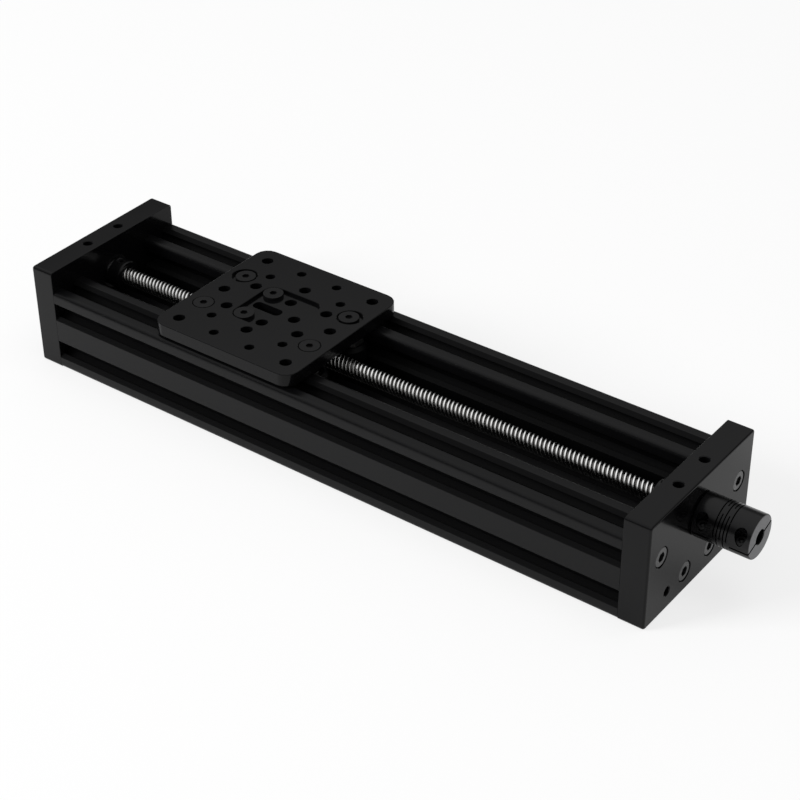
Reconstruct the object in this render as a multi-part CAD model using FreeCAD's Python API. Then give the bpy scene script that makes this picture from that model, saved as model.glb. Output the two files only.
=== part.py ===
import FreeCAD, Part
import math
import os

from FreeCAD import Vector

# Lead screw linear slide: a carriage on four grooved-track wheels runs along a C-shaped slotted rail,
# driven by a lead screw that is held in a bearing at each end and turned through a flexible coupling.
# Millimetres. X runs along the rail, +Z is up, and the origin is the middle of the rail's bottom face.

# Rail: square slot cells side by side, four in the bottom row and one in each leg
RAIL_LENGTH = 300.0
CELL = 20.0
RAIL_CORNER_RADIUS = 2.0
SLOT_MOUTH = 9.16
SLOT_THROAT = 5.8
SLOT_LIP = 1.8
SLOT_CAVITY = 11.0
SLOT_FLOOR = 5.5
SLOT_DEPTH = 6.1
RAIL_WEB = 1.6
CORE_BORE_DIAMETER = 4.2
CORE_TAP_DEPTH = 14.0

# End plates and the cap screws that hold them on the rail
PLATE_THICKNESS = 12.0
PLATE_HEIGHT = 50.0
PLATE_CORNER_RADIUS = 1.5
PLATE_EDGE_BREAK = 1.0
PLATE_SCREW_LENGTH = 20.0
PLATE_SCREW_HEAD_DIAMETER = 8.5
PLATE_SCREW_HEAD_HEIGHT = 5.0
PLATE_SCREW_SOCKET = 4.0
PLATE_SCREW_RECESS = 0.2
MOTOR_HOLE_SPACING = 47.14
TOP_HOLE_SPACING = 20.0
TOP_HOLE_DEPTH = 14.0

# Lead screw, its end bearings and lock collars
SCREW_DIAMETER = 8.0
SCREW_ABOVE_FLOOR = 12.6
SCREW_END_CHAMFER = 0.8
SCREW_IDLE_RECESS = 1.0
SCREW_IN_COUPLING = 12.0
BEARING_DIAMETER = 16.0
BEARING_WIDTH = 5.0
BEARING_SHOULDER = 2.0
COLLAR_DIAMETER = 14.0
COLLAR_WIDTH = 7.0
COLLAR_CHAMFER = 0.5
COLLAR_SHIM_THICKNESS = 1.0
COLLAR_GRUB_DIAMETER = 4.0

# Flexible coupling: a clamping hub at each end and crosswise slits between them
COUPLING_DIAMETER = 19.0
COUPLING_LENGTH = 25.0
COUPLING_GAP = 0.4
COUPLING_CHAMFER = 0.5
MOTOR_SHAFT_DIAMETER = 6.35
HUB_LENGTH = 8.2
HUB_SLIT = 1.0
HUB_SLIT_ANGLE = 19.5
FLEX_SLIT = 0.5
FLEX_SLIT_COUNT = 5
FLEX_PITCH = 1.42
FLEX_WEB = 4.0
CLAMP_SCREW_DIAMETER = 2.5
CLAMP_SCREW_LENGTH = 6.0
CLAMP_HEAD_DIAMETER = 4.5
CLAMP_HEAD_HEIGHT = 2.5
CLAMP_SCREW_FROM_END = 4.1
CLAMP_SEAT_HEIGHT = 1.1

# Carriage plate and its holes, which lie on a square grid
CARRIAGE_X = -52.0
CARRIAGE_SIZE = 77.5
CARRIAGE_THICKNESS = 6.0
CARRIAGE_CORNER_RADIUS = 6.5
CARRIAGE_EDGE_BREAK = 0.5
CARRIAGE_ABOVE_RAIL = 1.2
HOLE_GRID = 10.0
PASS_HOLE_DIAMETER = 5.2
TAPPED_HOLE_DIAMETER = 4.2
POCKET_SIZE = 30.0
POCKET_CORNER_RADIUS = 5.0
ADJUSTING_SLOT_WIDTH = 5.2

# Wheels, each on two small ball bearings and one bolt
WHEEL_DIAMETER = 15.23
WHEEL_WIDTH = 8.8
WHEEL_BITE = 1.6
WHEEL_FLANK_CLEARANCE = 0.12
WHEEL_SHOULDER = 0.7
WHEEL_BASE = 60.0
WHEEL_BEARING_DIAMETER = 10.0
WHEEL_BEARING_WIDTH = 4.0
WHEEL_BEARING_RACE = 0.8
WHEEL_SHIM_THICKNESS = 1.0
BOLT_DIAMETER = 5.0
BOLT_HEAD_DIAMETER = 9.2
BOLT_HEAD_HEIGHT = 1.5
BOLT_END = 0.3
BOLT_SOCKET = 3.0
BOLT_SOCKET_DEPTH = 1.1
NUT_ACROSS_FLATS = 8.0
NUT_HEIGHT = 4.0
SPACER_DIAMETER = 8.0
ECCENTRIC_ACROSS_FLATS = 10.0
ECCENTRIC_BOSS_DIAMETER = 7.0
ECCENTRIC_BOSS_HEIGHT = 2.5
ECCENTRIC_OFFSET = 0.6
ECCENTRIC_COUNTERBORE = 11.6

# Nut block under the carriage plate, split so that its slack can be taken up
NUT_BLOCK_LENGTH = 34.0
NUT_BLOCK_WIDTH = 33.0
NUT_BLOCK_HEIGHT = 12.7
NUT_BLOCK_CHAMFER = 0.8
NUT_BLOCK_SLIT = 1.2
NUT_BLOCK_SLIT_X = 4.0
NUT_BLOCK_HINGE = 4.0
BACKLASH_SCREW_LENGTH = 12.0
BACKLASH_SCREW_EDGE = 4.5

# Clearances: a running fit, a seat that doesn't turn, a bolt in its hole, a head in its counterbore,
# and a face that turns past another
RUNNING_CLEARANCE = 0.05
SEAT_CLEARANCE = 0.02
BOLT_CLEARANCE = 0.1
HEAD_CLEARANCE = 0.3
FACE_CLEARANCE = 0.1

# Places that follow from the driving sizes
OVERCUT = 1.0
SAME_PLACE = 1e-6
RAIL_WIDTH = 4 * CELL
RAIL_HEIGHT = 2 * CELL
RAIL_END = RAIL_LENGTH / 2
CHANNEL_HALF = CELL
LOW_ROW = CELL / 2
HIGH_ROW = 3 * CELL / 2
NEAR_COLUMN = CELL / 2
FAR_COLUMN = 3 * CELL / 2
PLATE_FACE = RAIL_END + PLATE_THICKNESS
SCREW_Z = CELL + SCREW_ABOVE_FLOOR
BEARING_RACE = 0.15 * (BEARING_DIAMETER - SCREW_DIAMETER)
PLATE_SCREW_TOP = PLATE_FACE - PLATE_SCREW_RECESS
PLATE_SCREW_SEAT = PLATE_SCREW_TOP - PLATE_SCREW_HEAD_HEIGHT
COUPLING_START = PLATE_FACE + COUPLING_GAP
CLAMP_SCREW_OFFSET = (SCREW_DIAMETER + CLAMP_HEAD_DIAMETER) / 2 + HEAD_CLEARANCE
CARRIAGE_BOTTOM = RAIL_HEIGHT + CARRIAGE_ABOVE_RAIL
CARRIAGE_TOP = CARRIAGE_BOTTOM + CARRIAGE_THICKNESS
BOLT_SEAT = CARRIAGE_TOP - BOLT_HEAD_HEIGHT
WHEEL_RADIUS = WHEEL_DIAMETER / 2
WHEEL_Y = CHANNEL_HALF + WHEEL_BITE - WHEEL_RADIUS
WHEEL_Z = HIGH_ROW
STACK_HALF = WHEEL_BEARING_WIDTH + WHEEL_SHIM_THICKNESS / 2
STACK_TOP = WHEEL_Z + STACK_HALF
STACK_BOTTOM = WHEEL_Z - STACK_HALF
NUT_BLOCK_TOP = SCREW_Z + NUT_BLOCK_HEIGHT / 2
NUT_BLOCK_BOTTOM = SCREW_Z - NUT_BLOCK_HEIGHT / 2
BOLT_HOLE_RADIUS = BOLT_DIAMETER / 2 + BOLT_CLEARANCE
PLATE_SCREW_PLACES = [
    (-FAR_COLUMN, HIGH_ROW),
    (FAR_COLUMN, HIGH_ROW),
    (-NEAR_COLUMN, LOW_ROW),
    (NEAR_COLUMN, LOW_ROW),
]
NUT_BLOCK_BOLT_PLACES = [(-1, -1), (-1, 1)]
CORNERS = {
    "near_left": (-1, -1),
    "near_right": (1, -1),
    "far_left": (-1, 1),
    "far_right": (1, 1),
}
NEAR_ENDS = [CORNERS["near_left"], CORNERS["near_right"]]
FAR_ENDS = [CORNERS["far_left"], CORNERS["far_right"]]


def block(low, high):
    """Box between two opposite corners."""
    size = Vector(*high) - Vector(*low)
    return Part.makeBox(size.x, size.y, size.z, Vector(*low))


def rod(radius, start, end):
    """Round bar from one point to another."""
    along = Vector(*end) - Vector(*start)
    return Part.makeCylinder(radius, along.Length, Vector(*start), along)


def tube(outer, inner, start, end):
    """Round tube from one point to another."""
    return rod(outer, start, end).cut(rod(inner, start, end))


def hexagon(across_flats, start, end):
    """Six-sided bar from one point to another, with a flat square to its sideways direction."""
    along = Vector(*end) - Vector(*start)
    side = Vector(0, 1, 0) if abs(along.y) < along.Length / 2 else Vector(1, 0, 0)
    other = along.cross(side).normalize()
    reach = across_flats / 2 / math.cos(math.pi / 6)
    angles = [math.radians(30 + 60 * step) for step in range(7)]
    points = [Vector(*start) + side * reach * math.cos(a) + other * reach * math.sin(a) for a in angles]
    return Part.Face(Part.makePolygon(points)).extrude(along)


def revolved(outline):
    """Solid of revolution about Z from a closed outline of (radius, height) points."""
    points = [Vector(radius, 0, height) for radius, height in outline]
    face = Part.Face(Part.makePolygon(points + points[:1]))
    return face.revolve(Vector(0, 0, 0), Vector(0, 0, 1), 360)


def edges_along(shape, axis):
    """Straight edges of a shape that run along an axis."""
    found = []
    for edge in shape.Edges:
        direction = edge.tangentAt(edge.FirstParameter)
        if isinstance(edge.Curve, Part.Line) and abs(direction.dot(axis)) > 1 - SAME_PLACE:
            found.append(edge)
    return found


def edges_at(shape, axis, level):
    """Edges of a shape that lie wholly in the plane at a level along an axis."""
    return [
        edge for edge in shape.Edges
        if all(abs(vertex.Point.dot(axis) - level) < SAME_PLACE for vertex in edge.Vertexes)
    ]


def turned(shape):
    """Copy of a right-hand end piece for the left-hand end."""
    return shape.rotated(Vector(0, 0, 0), Vector(0, 0, 1), 180)


def prism_along_rail(outline):
    """Bar of a closed (y, z) outline that runs past both ends of the rail."""
    start = -RAIL_END - OVERCUT
    points = [Vector(start, y, z) for y, z in outline]
    return Part.Face(Part.makePolygon(points + points[:1])).extrude(Vector(RAIL_LENGTH + 2 * OVERCUT, 0, 0))


def slot_bar(face_y, face_z, out_y, out_z):
    """Cutter for one slot: a V mouth, a throat and a wider cavity that tapers to its floor."""
    mouth_depth = (SLOT_MOUTH - SLOT_THROAT) / 2
    taper_depth = SLOT_DEPTH - (SLOT_CAVITY - SLOT_FLOOR) / 2
    side = [
        (SLOT_MOUTH / 2 + OVERCUT, -OVERCUT),
        (SLOT_THROAT / 2, mouth_depth),
        (SLOT_THROAT / 2, SLOT_LIP),
        (SLOT_CAVITY / 2, SLOT_LIP),
        (SLOT_CAVITY / 2, taper_depth),
        (SLOT_FLOOR / 2, SLOT_DEPTH),
    ]
    around = side + [(-half, depth) for half, depth in reversed(side)]
    return prism_along_rail([
        (face_y - out_y * depth + out_z * half, face_z - out_z * depth + out_y * half)
        for half, depth in around
    ])


def hollow_bar(centre_y, centre_z, upright, necks):
    """Cutter for the closed hollow between two cells, with a neck towards each outer face that has room."""
    neck_half = (CELL - SLOT_CAVITY) / 2 - RAIL_WEB
    shoulder = SLOT_FLOOR / 2 + SLOT_DEPTH - neck_half
    neck_end = CELL / 2 - SLOT_LIP
    outline = []
    for direction in (1, -1):
        outline.append((direction * SLOT_DEPTH, direction * SLOT_FLOOR / 2))
        outline.append((direction * neck_half, direction * shoulder))
        if direction in necks:
            outline.append((direction * neck_half, direction * neck_end))
            outline.append((-direction * neck_half, direction * neck_end))
        outline.append((-direction * neck_half, direction * shoulder))
        outline.append((-direction * SLOT_DEPTH, direction * SLOT_FLOOR / 2))
    if upright:
        return prism_along_rail([(centre_y + across, centre_z + along) for along, across in outline])
    return prism_along_rail([(centre_y + along, centre_z + across) for along, across in outline])


def make_rail():
    """C-shaped rail with slots on every open face, hollows between the cells and a bore in each core."""
    half_width = RAIL_WIDTH / 2
    body = block((-RAIL_END, -half_width, 0), (RAIL_END, half_width, RAIL_HEIGHT))
    channel_low = (-RAIL_END - OVERCUT, -CHANNEL_HALF, CELL)
    channel_high = (RAIL_END + OVERCUT, CHANNEL_HALF, RAIL_HEIGHT + OVERCUT)
    body = body.cut(block(channel_low, channel_high))
    corners = [
        edge for edge in edges_along(body, Vector(1, 0, 0))
        if abs(edge.CenterOfMass.z - CELL) > CELL / 2
    ]
    body = body.makeFillet(RAIL_CORNER_RADIUS, corners)

    cutters = []
    for side in (-1, 1):
        cutters.append(slot_bar(side * half_width, LOW_ROW, side, 0))
        cutters.append(slot_bar(side * half_width, HIGH_ROW, side, 0))
        cutters.append(slot_bar(side * CHANNEL_HALF, HIGH_ROW, -side, 0))
        cutters.append(slot_bar(side * FAR_COLUMN, RAIL_HEIGHT, 0, 1))
        cutters.append(slot_bar(side * NEAR_COLUMN, CELL, 0, 1))
        cutters.append(slot_bar(side * FAR_COLUMN, 0, 0, -1))
        cutters.append(slot_bar(side * NEAR_COLUMN, 0, 0, -1))
        cutters.append(hollow_bar(side * FAR_COLUMN, CELL, True, (1, -1)))
        cutters.append(hollow_bar(side * CELL, LOW_ROW, False, (-1,)))
    cutters.append(hollow_bar(0, LOW_ROW, False, (1, -1)))
    core_places = PLATE_SCREW_PLACES + [(-FAR_COLUMN, LOW_ROW), (FAR_COLUMN, LOW_ROW)]
    for y, z in core_places:
        cutters.append(rod(CORE_BORE_DIAMETER / 2, (-RAIL_END - OVERCUT, y, z), (RAIL_END + OVERCUT, y, z)))
    for y, z in PLATE_SCREW_PLACES:
        for end in (-1, 1):
            start = (end * (RAIL_END - CORE_TAP_DEPTH), y, z)
            stop = (end * (RAIL_END + OVERCUT), y, z)
            cutters.append(rod(BOLT_DIAMETER / 2 + RUNNING_CLEARANCE, start, stop))
    return body.cut(cutters)


def make_end_plate():
    """Right-hand end plate: bearing seat, counterbored rail holes, motor holes and top holes."""
    half_width = RAIL_WIDTH / 2
    plate = block((RAIL_END, -half_width, 0), (PLATE_FACE, half_width, PLATE_HEIGHT))
    plate = plate.makeFillet(PLATE_CORNER_RADIUS, edges_along(plate, Vector(1, 0, 0)))
    plate = plate.makeChamfer(PLATE_EDGE_BREAK, edges_at(plate, Vector(1, 0, 0), PLATE_FACE))

    inside = RAIL_END - OVERCUT
    outside = PLATE_FACE + OVERCUT
    seat_radius = BEARING_DIAMETER / 2 + SEAT_CLEARANCE
    passage_radius = BEARING_DIAMETER / 2 - BEARING_SHOULDER
    cutters = [
        rod(seat_radius, (inside, 0, SCREW_Z), (RAIL_END + BEARING_WIDTH, 0, SCREW_Z)),
        rod(passage_radius, (inside, 0, SCREW_Z), (outside, 0, SCREW_Z)),
    ]
    counterbore_radius = PLATE_SCREW_HEAD_DIAMETER / 2 + HEAD_CLEARANCE
    for y, z in PLATE_SCREW_PLACES:
        cutters.append(rod(BOLT_HOLE_RADIUS, (inside, y, z), (outside, y, z)))
        cutters.append(rod(counterbore_radius, (PLATE_SCREW_SEAT, y, z), (outside, y, z)))
    motor_z = SCREW_Z - MOTOR_HOLE_SPACING / 2
    middle = (RAIL_END + PLATE_FACE) / 2
    for side in (-1, 1):
        motor_y = side * MOTOR_HOLE_SPACING / 2
        cutters.append(rod(TAPPED_HOLE_DIAMETER / 2, (inside, motor_y, motor_z), (outside, motor_y, motor_z)))
        top_y = side * TOP_HOLE_SPACING / 2
        top_start = (middle, top_y, PLATE_HEIGHT - TOP_HOLE_DEPTH)
        top_end = (middle, top_y, PLATE_HEIGHT + OVERCUT)
        cutters.append(rod(TAPPED_HOLE_DIAMETER / 2, top_start, top_end))
    return plate.cut(cutters)


def make_plate_screws():
    """The four cap screws of the right-hand end plate, sunk in their counterbores."""
    screws = []
    for y, z in PLATE_SCREW_PLACES:
        top = (PLATE_SCREW_TOP, y, z)
        seat = (PLATE_SCREW_SEAT, y, z)
        tip = (PLATE_SCREW_SEAT - PLATE_SCREW_LENGTH, y, z)
        socket_floor = (PLATE_SCREW_TOP - PLATE_SCREW_HEAD_HEIGHT / 2, y, z)
        head = rod(PLATE_SCREW_HEAD_DIAMETER / 2, seat, top)
        shank = rod(BOLT_DIAMETER / 2, tip, seat)
        screws.append(head.fuse(shank).cut(hexagon(PLATE_SCREW_SOCKET, socket_floor, top)))
    return Part.makeCompound(screws)


def race_ring(outer, inner, width, x):
    """Race of an end bearing, starting at x and running outwards."""
    return tube(outer, inner, (x, 0, SCREW_Z), (x + width, 0, SCREW_Z))


def end_bearing_inner_radius():
    """Outer radius of an end bearing's inner race."""
    return SCREW_DIAMETER / 2 + SEAT_CLEARANCE + BEARING_RACE


def make_bearing_outer_race():
    """Outer race of the right-hand bearing with its two shields, which reach in close to the inner race."""
    shield_radius = end_bearing_inner_radius() + FACE_CLEARANCE
    width = BEARING_WIDTH - FACE_CLEARANCE
    return race_ring(BEARING_DIAMETER / 2, shield_radius, width, RAIL_END + FACE_CLEARANCE)


def make_bearing_inner_race():
    """Inner race of the right-hand bearing, which turns with the screw."""
    bore_radius = SCREW_DIAMETER / 2 + SEAT_CLEARANCE
    return race_ring(end_bearing_inner_radius(), bore_radius, BEARING_WIDTH, RAIL_END)


def make_collar_shim():
    """Thin ring that keeps the right-hand collar off the bearing's outer race."""
    start = RAIL_END - COLLAR_SHIM_THICKNESS
    bore_radius = SCREW_DIAMETER / 2 + SEAT_CLEARANCE
    return race_ring(end_bearing_inner_radius(), bore_radius, COLLAR_SHIM_THICKNESS, start)


def collar_span():
    """Inner and outer X of the right-hand lock collar."""
    outer = RAIL_END - COLLAR_SHIM_THICKNESS
    return outer - COLLAR_WIDTH, outer


def make_lock_collar():
    """Right-hand lock collar: a ring with broken edges and a radial hole for its grub screw."""
    start, end = collar_span()
    ring = rod(COLLAR_DIAMETER / 2, (start, 0, SCREW_Z), (end, 0, SCREW_Z))
    rims = edges_at(ring, Vector(1, 0, 0), start) + edges_at(ring, Vector(1, 0, 0), end)
    ring = ring.makeChamfer(COLLAR_CHAMFER, rims)
    bore = rod(SCREW_DIAMETER / 2 + SEAT_CLEARANCE, (start, 0, SCREW_Z), (end, 0, SCREW_Z))
    middle = (start + end) / 2
    top = SCREW_Z + COLLAR_DIAMETER
    grub_hole = rod(COLLAR_GRUB_DIAMETER / 2 + RUNNING_CLEARANCE, (middle, 0, SCREW_Z), (middle, 0, top))
    return ring.cut([bore, grub_hole])


def make_collar_grub_screw():
    """Grub screw of the right-hand collar, tight on the lead screw and just under the collar's surface."""
    start, end = collar_span()
    middle = (start + end) / 2
    low = SCREW_Z + SCREW_DIAMETER / 2 + SEAT_CLEARANCE
    high = SCREW_Z + COLLAR_DIAMETER / 2 - COLLAR_CHAMFER
    grub = rod(COLLAR_GRUB_DIAMETER / 2, (middle, 0, low), (middle, 0, high))
    socket = hexagon(COLLAR_GRUB_DIAMETER / 2, (middle, 0, (low + high) / 2), (middle, 0, high))
    return grub.cut(socket)


def make_lead_screw():
    """Lead screw as a bar of its outer diameter, from inside the left end plate to inside the coupling."""
    start = -PLATE_FACE + SCREW_IDLE_RECESS
    end = COUPLING_START + SCREW_IN_COUPLING
    bar = rod(SCREW_DIAMETER / 2, (start, 0, SCREW_Z), (end, 0, SCREW_Z))
    rims = edges_at(bar, Vector(1, 0, 0), start) + edges_at(bar, Vector(1, 0, 0), end)
    return bar.makeChamfer(SCREW_END_CHAMFER, rims)


def clamp_screw_places():
    """X of the clamp screw in each hub."""
    return COUPLING_START + CLAMP_SCREW_FROM_END, COUPLING_START + COUPLING_LENGTH - CLAMP_SCREW_FROM_END


def as_clamped(shape):
    """Shape drawn about the X axis with its slit level, turned to the hub slit's angle on the screw axis."""
    placed = shape.rotated(Vector(0, 0, 0), Vector(1, 0, 0), HUB_SLIT_ANGLE)
    return placed.translated(Vector(0, 0, SCREW_Z))


def make_coupling():
    """Coupling body: two bores, a slit and a counterbored screw hole in each hub, and the flexing slits."""
    start = COUPLING_START
    end = start + COUPLING_LENGTH
    middle = (start + end) / 2
    radius = COUPLING_DIAMETER / 2
    body = rod(radius, (start, 0, 0), (end, 0, 0))
    rims = edges_at(body, Vector(1, 0, 0), start) + edges_at(body, Vector(1, 0, 0), end)
    body = body.makeChamfer(COUPLING_CHAMFER, rims)
    cutters = [
        rod(SCREW_DIAMETER / 2 + SEAT_CLEARANCE, (start - OVERCUT, 0, 0), (middle, 0, 0)),
        rod(MOTOR_SHAFT_DIAMETER / 2, (start, 0, 0), (end + OVERCUT, 0, 0)),
    ]
    for hub_low, hub_high in ((start - OVERCUT, start + HUB_LENGTH), (end - HUB_LENGTH, end + OVERCUT)):
        low = (hub_low, -radius - OVERCUT, -HUB_SLIT / 2)
        high = (hub_high, radius + OVERCUT, HUB_SLIT / 2)
        cutters.append(block(low, high))
    for x in clamp_screw_places():
        seat = (x, -CLAMP_SCREW_OFFSET, CLAMP_SEAT_HEIGHT)
        above = (x, -CLAMP_SCREW_OFFSET, radius + OVERCUT)
        foot = (x, -CLAMP_SCREW_OFFSET, CLAMP_SEAT_HEIGHT - CLAMP_SCREW_LENGTH - RUNNING_CLEARANCE)
        cutters.append(rod(CLAMP_HEAD_DIAMETER / 2 + HEAD_CLEARANCE, seat, above))
        cutters.append(rod(CLAMP_SCREW_DIAMETER / 2 + RUNNING_CLEARANCE, foot, seat))
    first = middle - FLEX_PITCH * (FLEX_SLIT_COUNT - 1) / 2
    for step in range(FLEX_SLIT_COUNT):
        x = first + step * FLEX_PITCH
        disc = rod(radius + OVERCUT, (x - FLEX_SLIT / 2, 0, 0), (x + FLEX_SLIT / 2, 0, 0))
        web_low = (x - FLEX_SLIT, -radius - OVERCUT, -FLEX_WEB / 2)
        web = block(web_low, (x + FLEX_SLIT, radius + OVERCUT, FLEX_WEB / 2))
        quarter_turn = 90 * (step % 2)
        cutters.append(disc.cut(web.rotated(Vector(0, 0, 0), Vector(1, 0, 0), quarter_turn)))
    return as_clamped(body.cut(cutters))


def make_clamp_screws():
    """Cap screw across the slit of each hub."""
    screws = []
    for x in clamp_screw_places():
        seat = (x, -CLAMP_SCREW_OFFSET, CLAMP_SEAT_HEIGHT)
        head_top = (x, -CLAMP_SCREW_OFFSET, CLAMP_SEAT_HEIGHT + CLAMP_HEAD_HEIGHT)
        foot = (x, -CLAMP_SCREW_OFFSET, CLAMP_SEAT_HEIGHT - CLAMP_SCREW_LENGTH)
        middle = (x, -CLAMP_SCREW_OFFSET, CLAMP_SEAT_HEIGHT + CLAMP_HEAD_HEIGHT / 2)
        screw = rod(CLAMP_HEAD_DIAMETER / 2, seat, head_top).fuse(rod(CLAMP_SCREW_DIAMETER / 2, foot, seat))
        screws.append(as_clamped(screw.cut(hexagon(CLAMP_HEAD_DIAMETER / 2, middle, head_top))))
    return Part.makeCompound(screws)


def carriage_hole(column, row, radius):
    """Cutter for a hole through the carriage plate at a place on its grid."""
    x = CARRIAGE_X + column * HOLE_GRID
    y = row * HOLE_GRID
    return rod(radius, (x, y, CARRIAGE_BOTTOM - OVERCUT), (x, y, CARRIAGE_TOP + OVERCUT))


def wheel_hole_x(end):
    """X of a wheel's hole in the carriage plate, at the left (-1) or right (1) end."""
    return CARRIAGE_X + end * WHEEL_BASE / 2


def wheel_place(end, side):
    """X and Y of a wheel's axis: the far wheels sit off their holes, towards the middle."""
    offset = ECCENTRIC_OFFSET if side > 0 else 0.0
    return wheel_hole_x(end) - end * offset, side * WHEEL_Y


def make_carriage_plate():
    """Carriage plate: rounded square with a shallow pocket, an adjusting slot and a grid of holes."""
    half = CARRIAGE_SIZE / 2
    low = (CARRIAGE_X - half, -half, CARRIAGE_BOTTOM)
    plate = block(low, (CARRIAGE_X + half, half, CARRIAGE_TOP))
    plate = plate.makeFillet(CARRIAGE_CORNER_RADIUS, edges_along(plate, Vector(0, 0, 1)))
    plate = plate.makeChamfer(CARRIAGE_EDGE_BREAK, edges_at(plate, Vector(0, 0, 1), CARRIAGE_TOP))

    half_pocket = POCKET_SIZE / 2
    pocket_low = (CARRIAGE_X - half_pocket, -half_pocket, BOLT_SEAT)
    pocket = block(pocket_low, (CARRIAGE_X + half_pocket, half_pocket, CARRIAGE_TOP + OVERCUT))
    pocket = pocket.makeFillet(POCKET_CORNER_RADIUS, edges_along(pocket, Vector(0, 0, 1)))
    cutters = [pocket]

    slot_radius = ADJUSTING_SLOT_WIDTH / 2
    slot_low = (CARRIAGE_X - HOLE_GRID, -slot_radius, CARRIAGE_BOTTOM - OVERCUT)
    cutters.append(block(slot_low, (CARRIAGE_X, slot_radius, CARRIAGE_TOP + OVERCUT)))
    cutters.append(carriage_hole(-1, 0, slot_radius))
    cutters.append(carriage_hole(0, 0, slot_radius))

    pass_places = [(3, 0), (-3, 0), (0, 2), (0, -2), (0, 1), (0, -1), (1, 0)]
    tapped_places = []
    for end in (-1, 1):
        for side in (-1, 1):
            pass_places += [(3 * end, 3 * side), (2 * end, side)]
            tapped_places += [(2 * end, 2 * side), (end, 3 * side)]
    cutters += [carriage_hole(column, row, PASS_HOLE_DIAMETER / 2) for column, row in pass_places]
    cutters += [carriage_hole(column, row, TAPPED_HOLE_DIAMETER / 2) for column, row in tapped_places]
    cutters += [carriage_hole(column, row, BOLT_HOLE_RADIUS) for column, row in NUT_BLOCK_BOLT_PLACES]

    head_radius = BOLT_HEAD_DIAMETER / 2 + HEAD_CLEARANCE
    boss_radius = ECCENTRIC_BOSS_DIAMETER / 2 + BOLT_CLEARANCE
    wheel_holes = [(place, BOLT_HOLE_RADIUS, head_radius) for place in NEAR_ENDS]
    wheel_holes += [(place, boss_radius, ECCENTRIC_COUNTERBORE / 2) for place in FAR_ENDS]
    for (end, side), hole_radius, counterbore_radius in wheel_holes:
        x = wheel_hole_x(end)
        y = side * WHEEL_Y
        above = (x, y, CARRIAGE_TOP + OVERCUT)
        cutters.append(rod(hole_radius, (x, y, CARRIAGE_BOTTOM - OVERCUT), above))
        cutters.append(rod(counterbore_radius, (x, y, BOLT_SEAT), above))
    return plate.cut(cutters)


def low_head_bolt(x, y, tip_z):
    """Low-headed socket bolt, flush with the carriage plate's top, down to its tip."""
    head = rod(BOLT_HEAD_DIAMETER / 2, (x, y, BOLT_SEAT), (x, y, CARRIAGE_TOP))
    shank = rod(BOLT_DIAMETER / 2, (x, y, tip_z), (x, y, BOLT_SEAT))
    socket = hexagon(BOLT_SOCKET, (x, y, CARRIAGE_TOP - BOLT_SOCKET_DEPTH), (x, y, CARRIAGE_TOP))
    return head.fuse(shank).cut(socket)


def nut(x, y, low_z):
    """Plain hexagon nut standing on a level."""
    body = hexagon(NUT_ACROSS_FLATS, (x, y, low_z), (x, y, low_z + NUT_HEIGHT))
    return body.cut(rod(BOLT_DIAMETER / 2 + SEAT_CLEARANCE, (x, y, low_z), (x, y, low_z + NUT_HEIGHT)))


def at_wheels(make_piece):
    """Group of one piece made at each of the four wheel axes."""
    return Part.makeCompound([make_piece(*wheel_place(*corner)) for corner in CORNERS.values()])


def make_wheel_bolt(x, y):
    """Bolt that carries one wheel."""
    return low_head_bolt(x, y, STACK_BOTTOM - NUT_HEIGHT - BOLT_END)


def make_wheel_nut(x, y):
    """Nut under one wheel."""
    return nut(x, y, STACK_BOTTOM - NUT_HEIGHT)


def make_wheel_shim(x, y):
    """Ring between the two inner races of one wheel."""
    half = WHEEL_SHIM_THICKNESS / 2
    outer = BOLT_DIAMETER / 2 + SEAT_CLEARANCE + WHEEL_BEARING_RACE
    return tube(outer, BOLT_DIAMETER / 2 + SEAT_CLEARANCE, (x, y, WHEEL_Z - half), (x, y, WHEEL_Z + half))


def inner_race_pair(x, y):
    """The two inner races of one wheel, clamped on its bolt."""
    bore = BOLT_DIAMETER / 2 + SEAT_CLEARANCE
    outer = bore + WHEEL_BEARING_RACE
    half = WHEEL_SHIM_THICKNESS / 2
    upper = tube(outer, bore, (x, y, WHEEL_Z + half), (x, y, STACK_TOP))
    lower = tube(outer, bore, (x, y, STACK_BOTTOM), (x, y, WHEEL_Z - half))
    return [upper, lower]


def make_inner_races():
    """All the inner races of the four wheels."""
    races = []
    for corner in CORNERS.values():
        races += inner_race_pair(*wheel_place(*corner))
    return Part.makeCompound(races)


def outer_race_offsets():
    """Inner and outer distance of an outer race from the wheel's middle plane."""
    return WHEEL_SHIM_THICKNESS / 2 + FACE_CLEARANCE, STACK_HALF - FACE_CLEARANCE


def make_outer_races(end, side):
    """The two outer races of one wheel with their shields, which reach in close to the inner races."""
    x, y = wheel_place(end, side)
    inner = BOLT_DIAMETER / 2 + SEAT_CLEARANCE + WHEEL_BEARING_RACE + FACE_CLEARANCE
    near, far = outer_race_offsets()
    races = [
        tube(WHEEL_BEARING_DIAMETER / 2, inner, (x, y, WHEEL_Z + way * near), (x, y, WHEEL_Z + way * far))
        for way in (1, -1)
    ]
    return Part.makeCompound(races)


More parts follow.
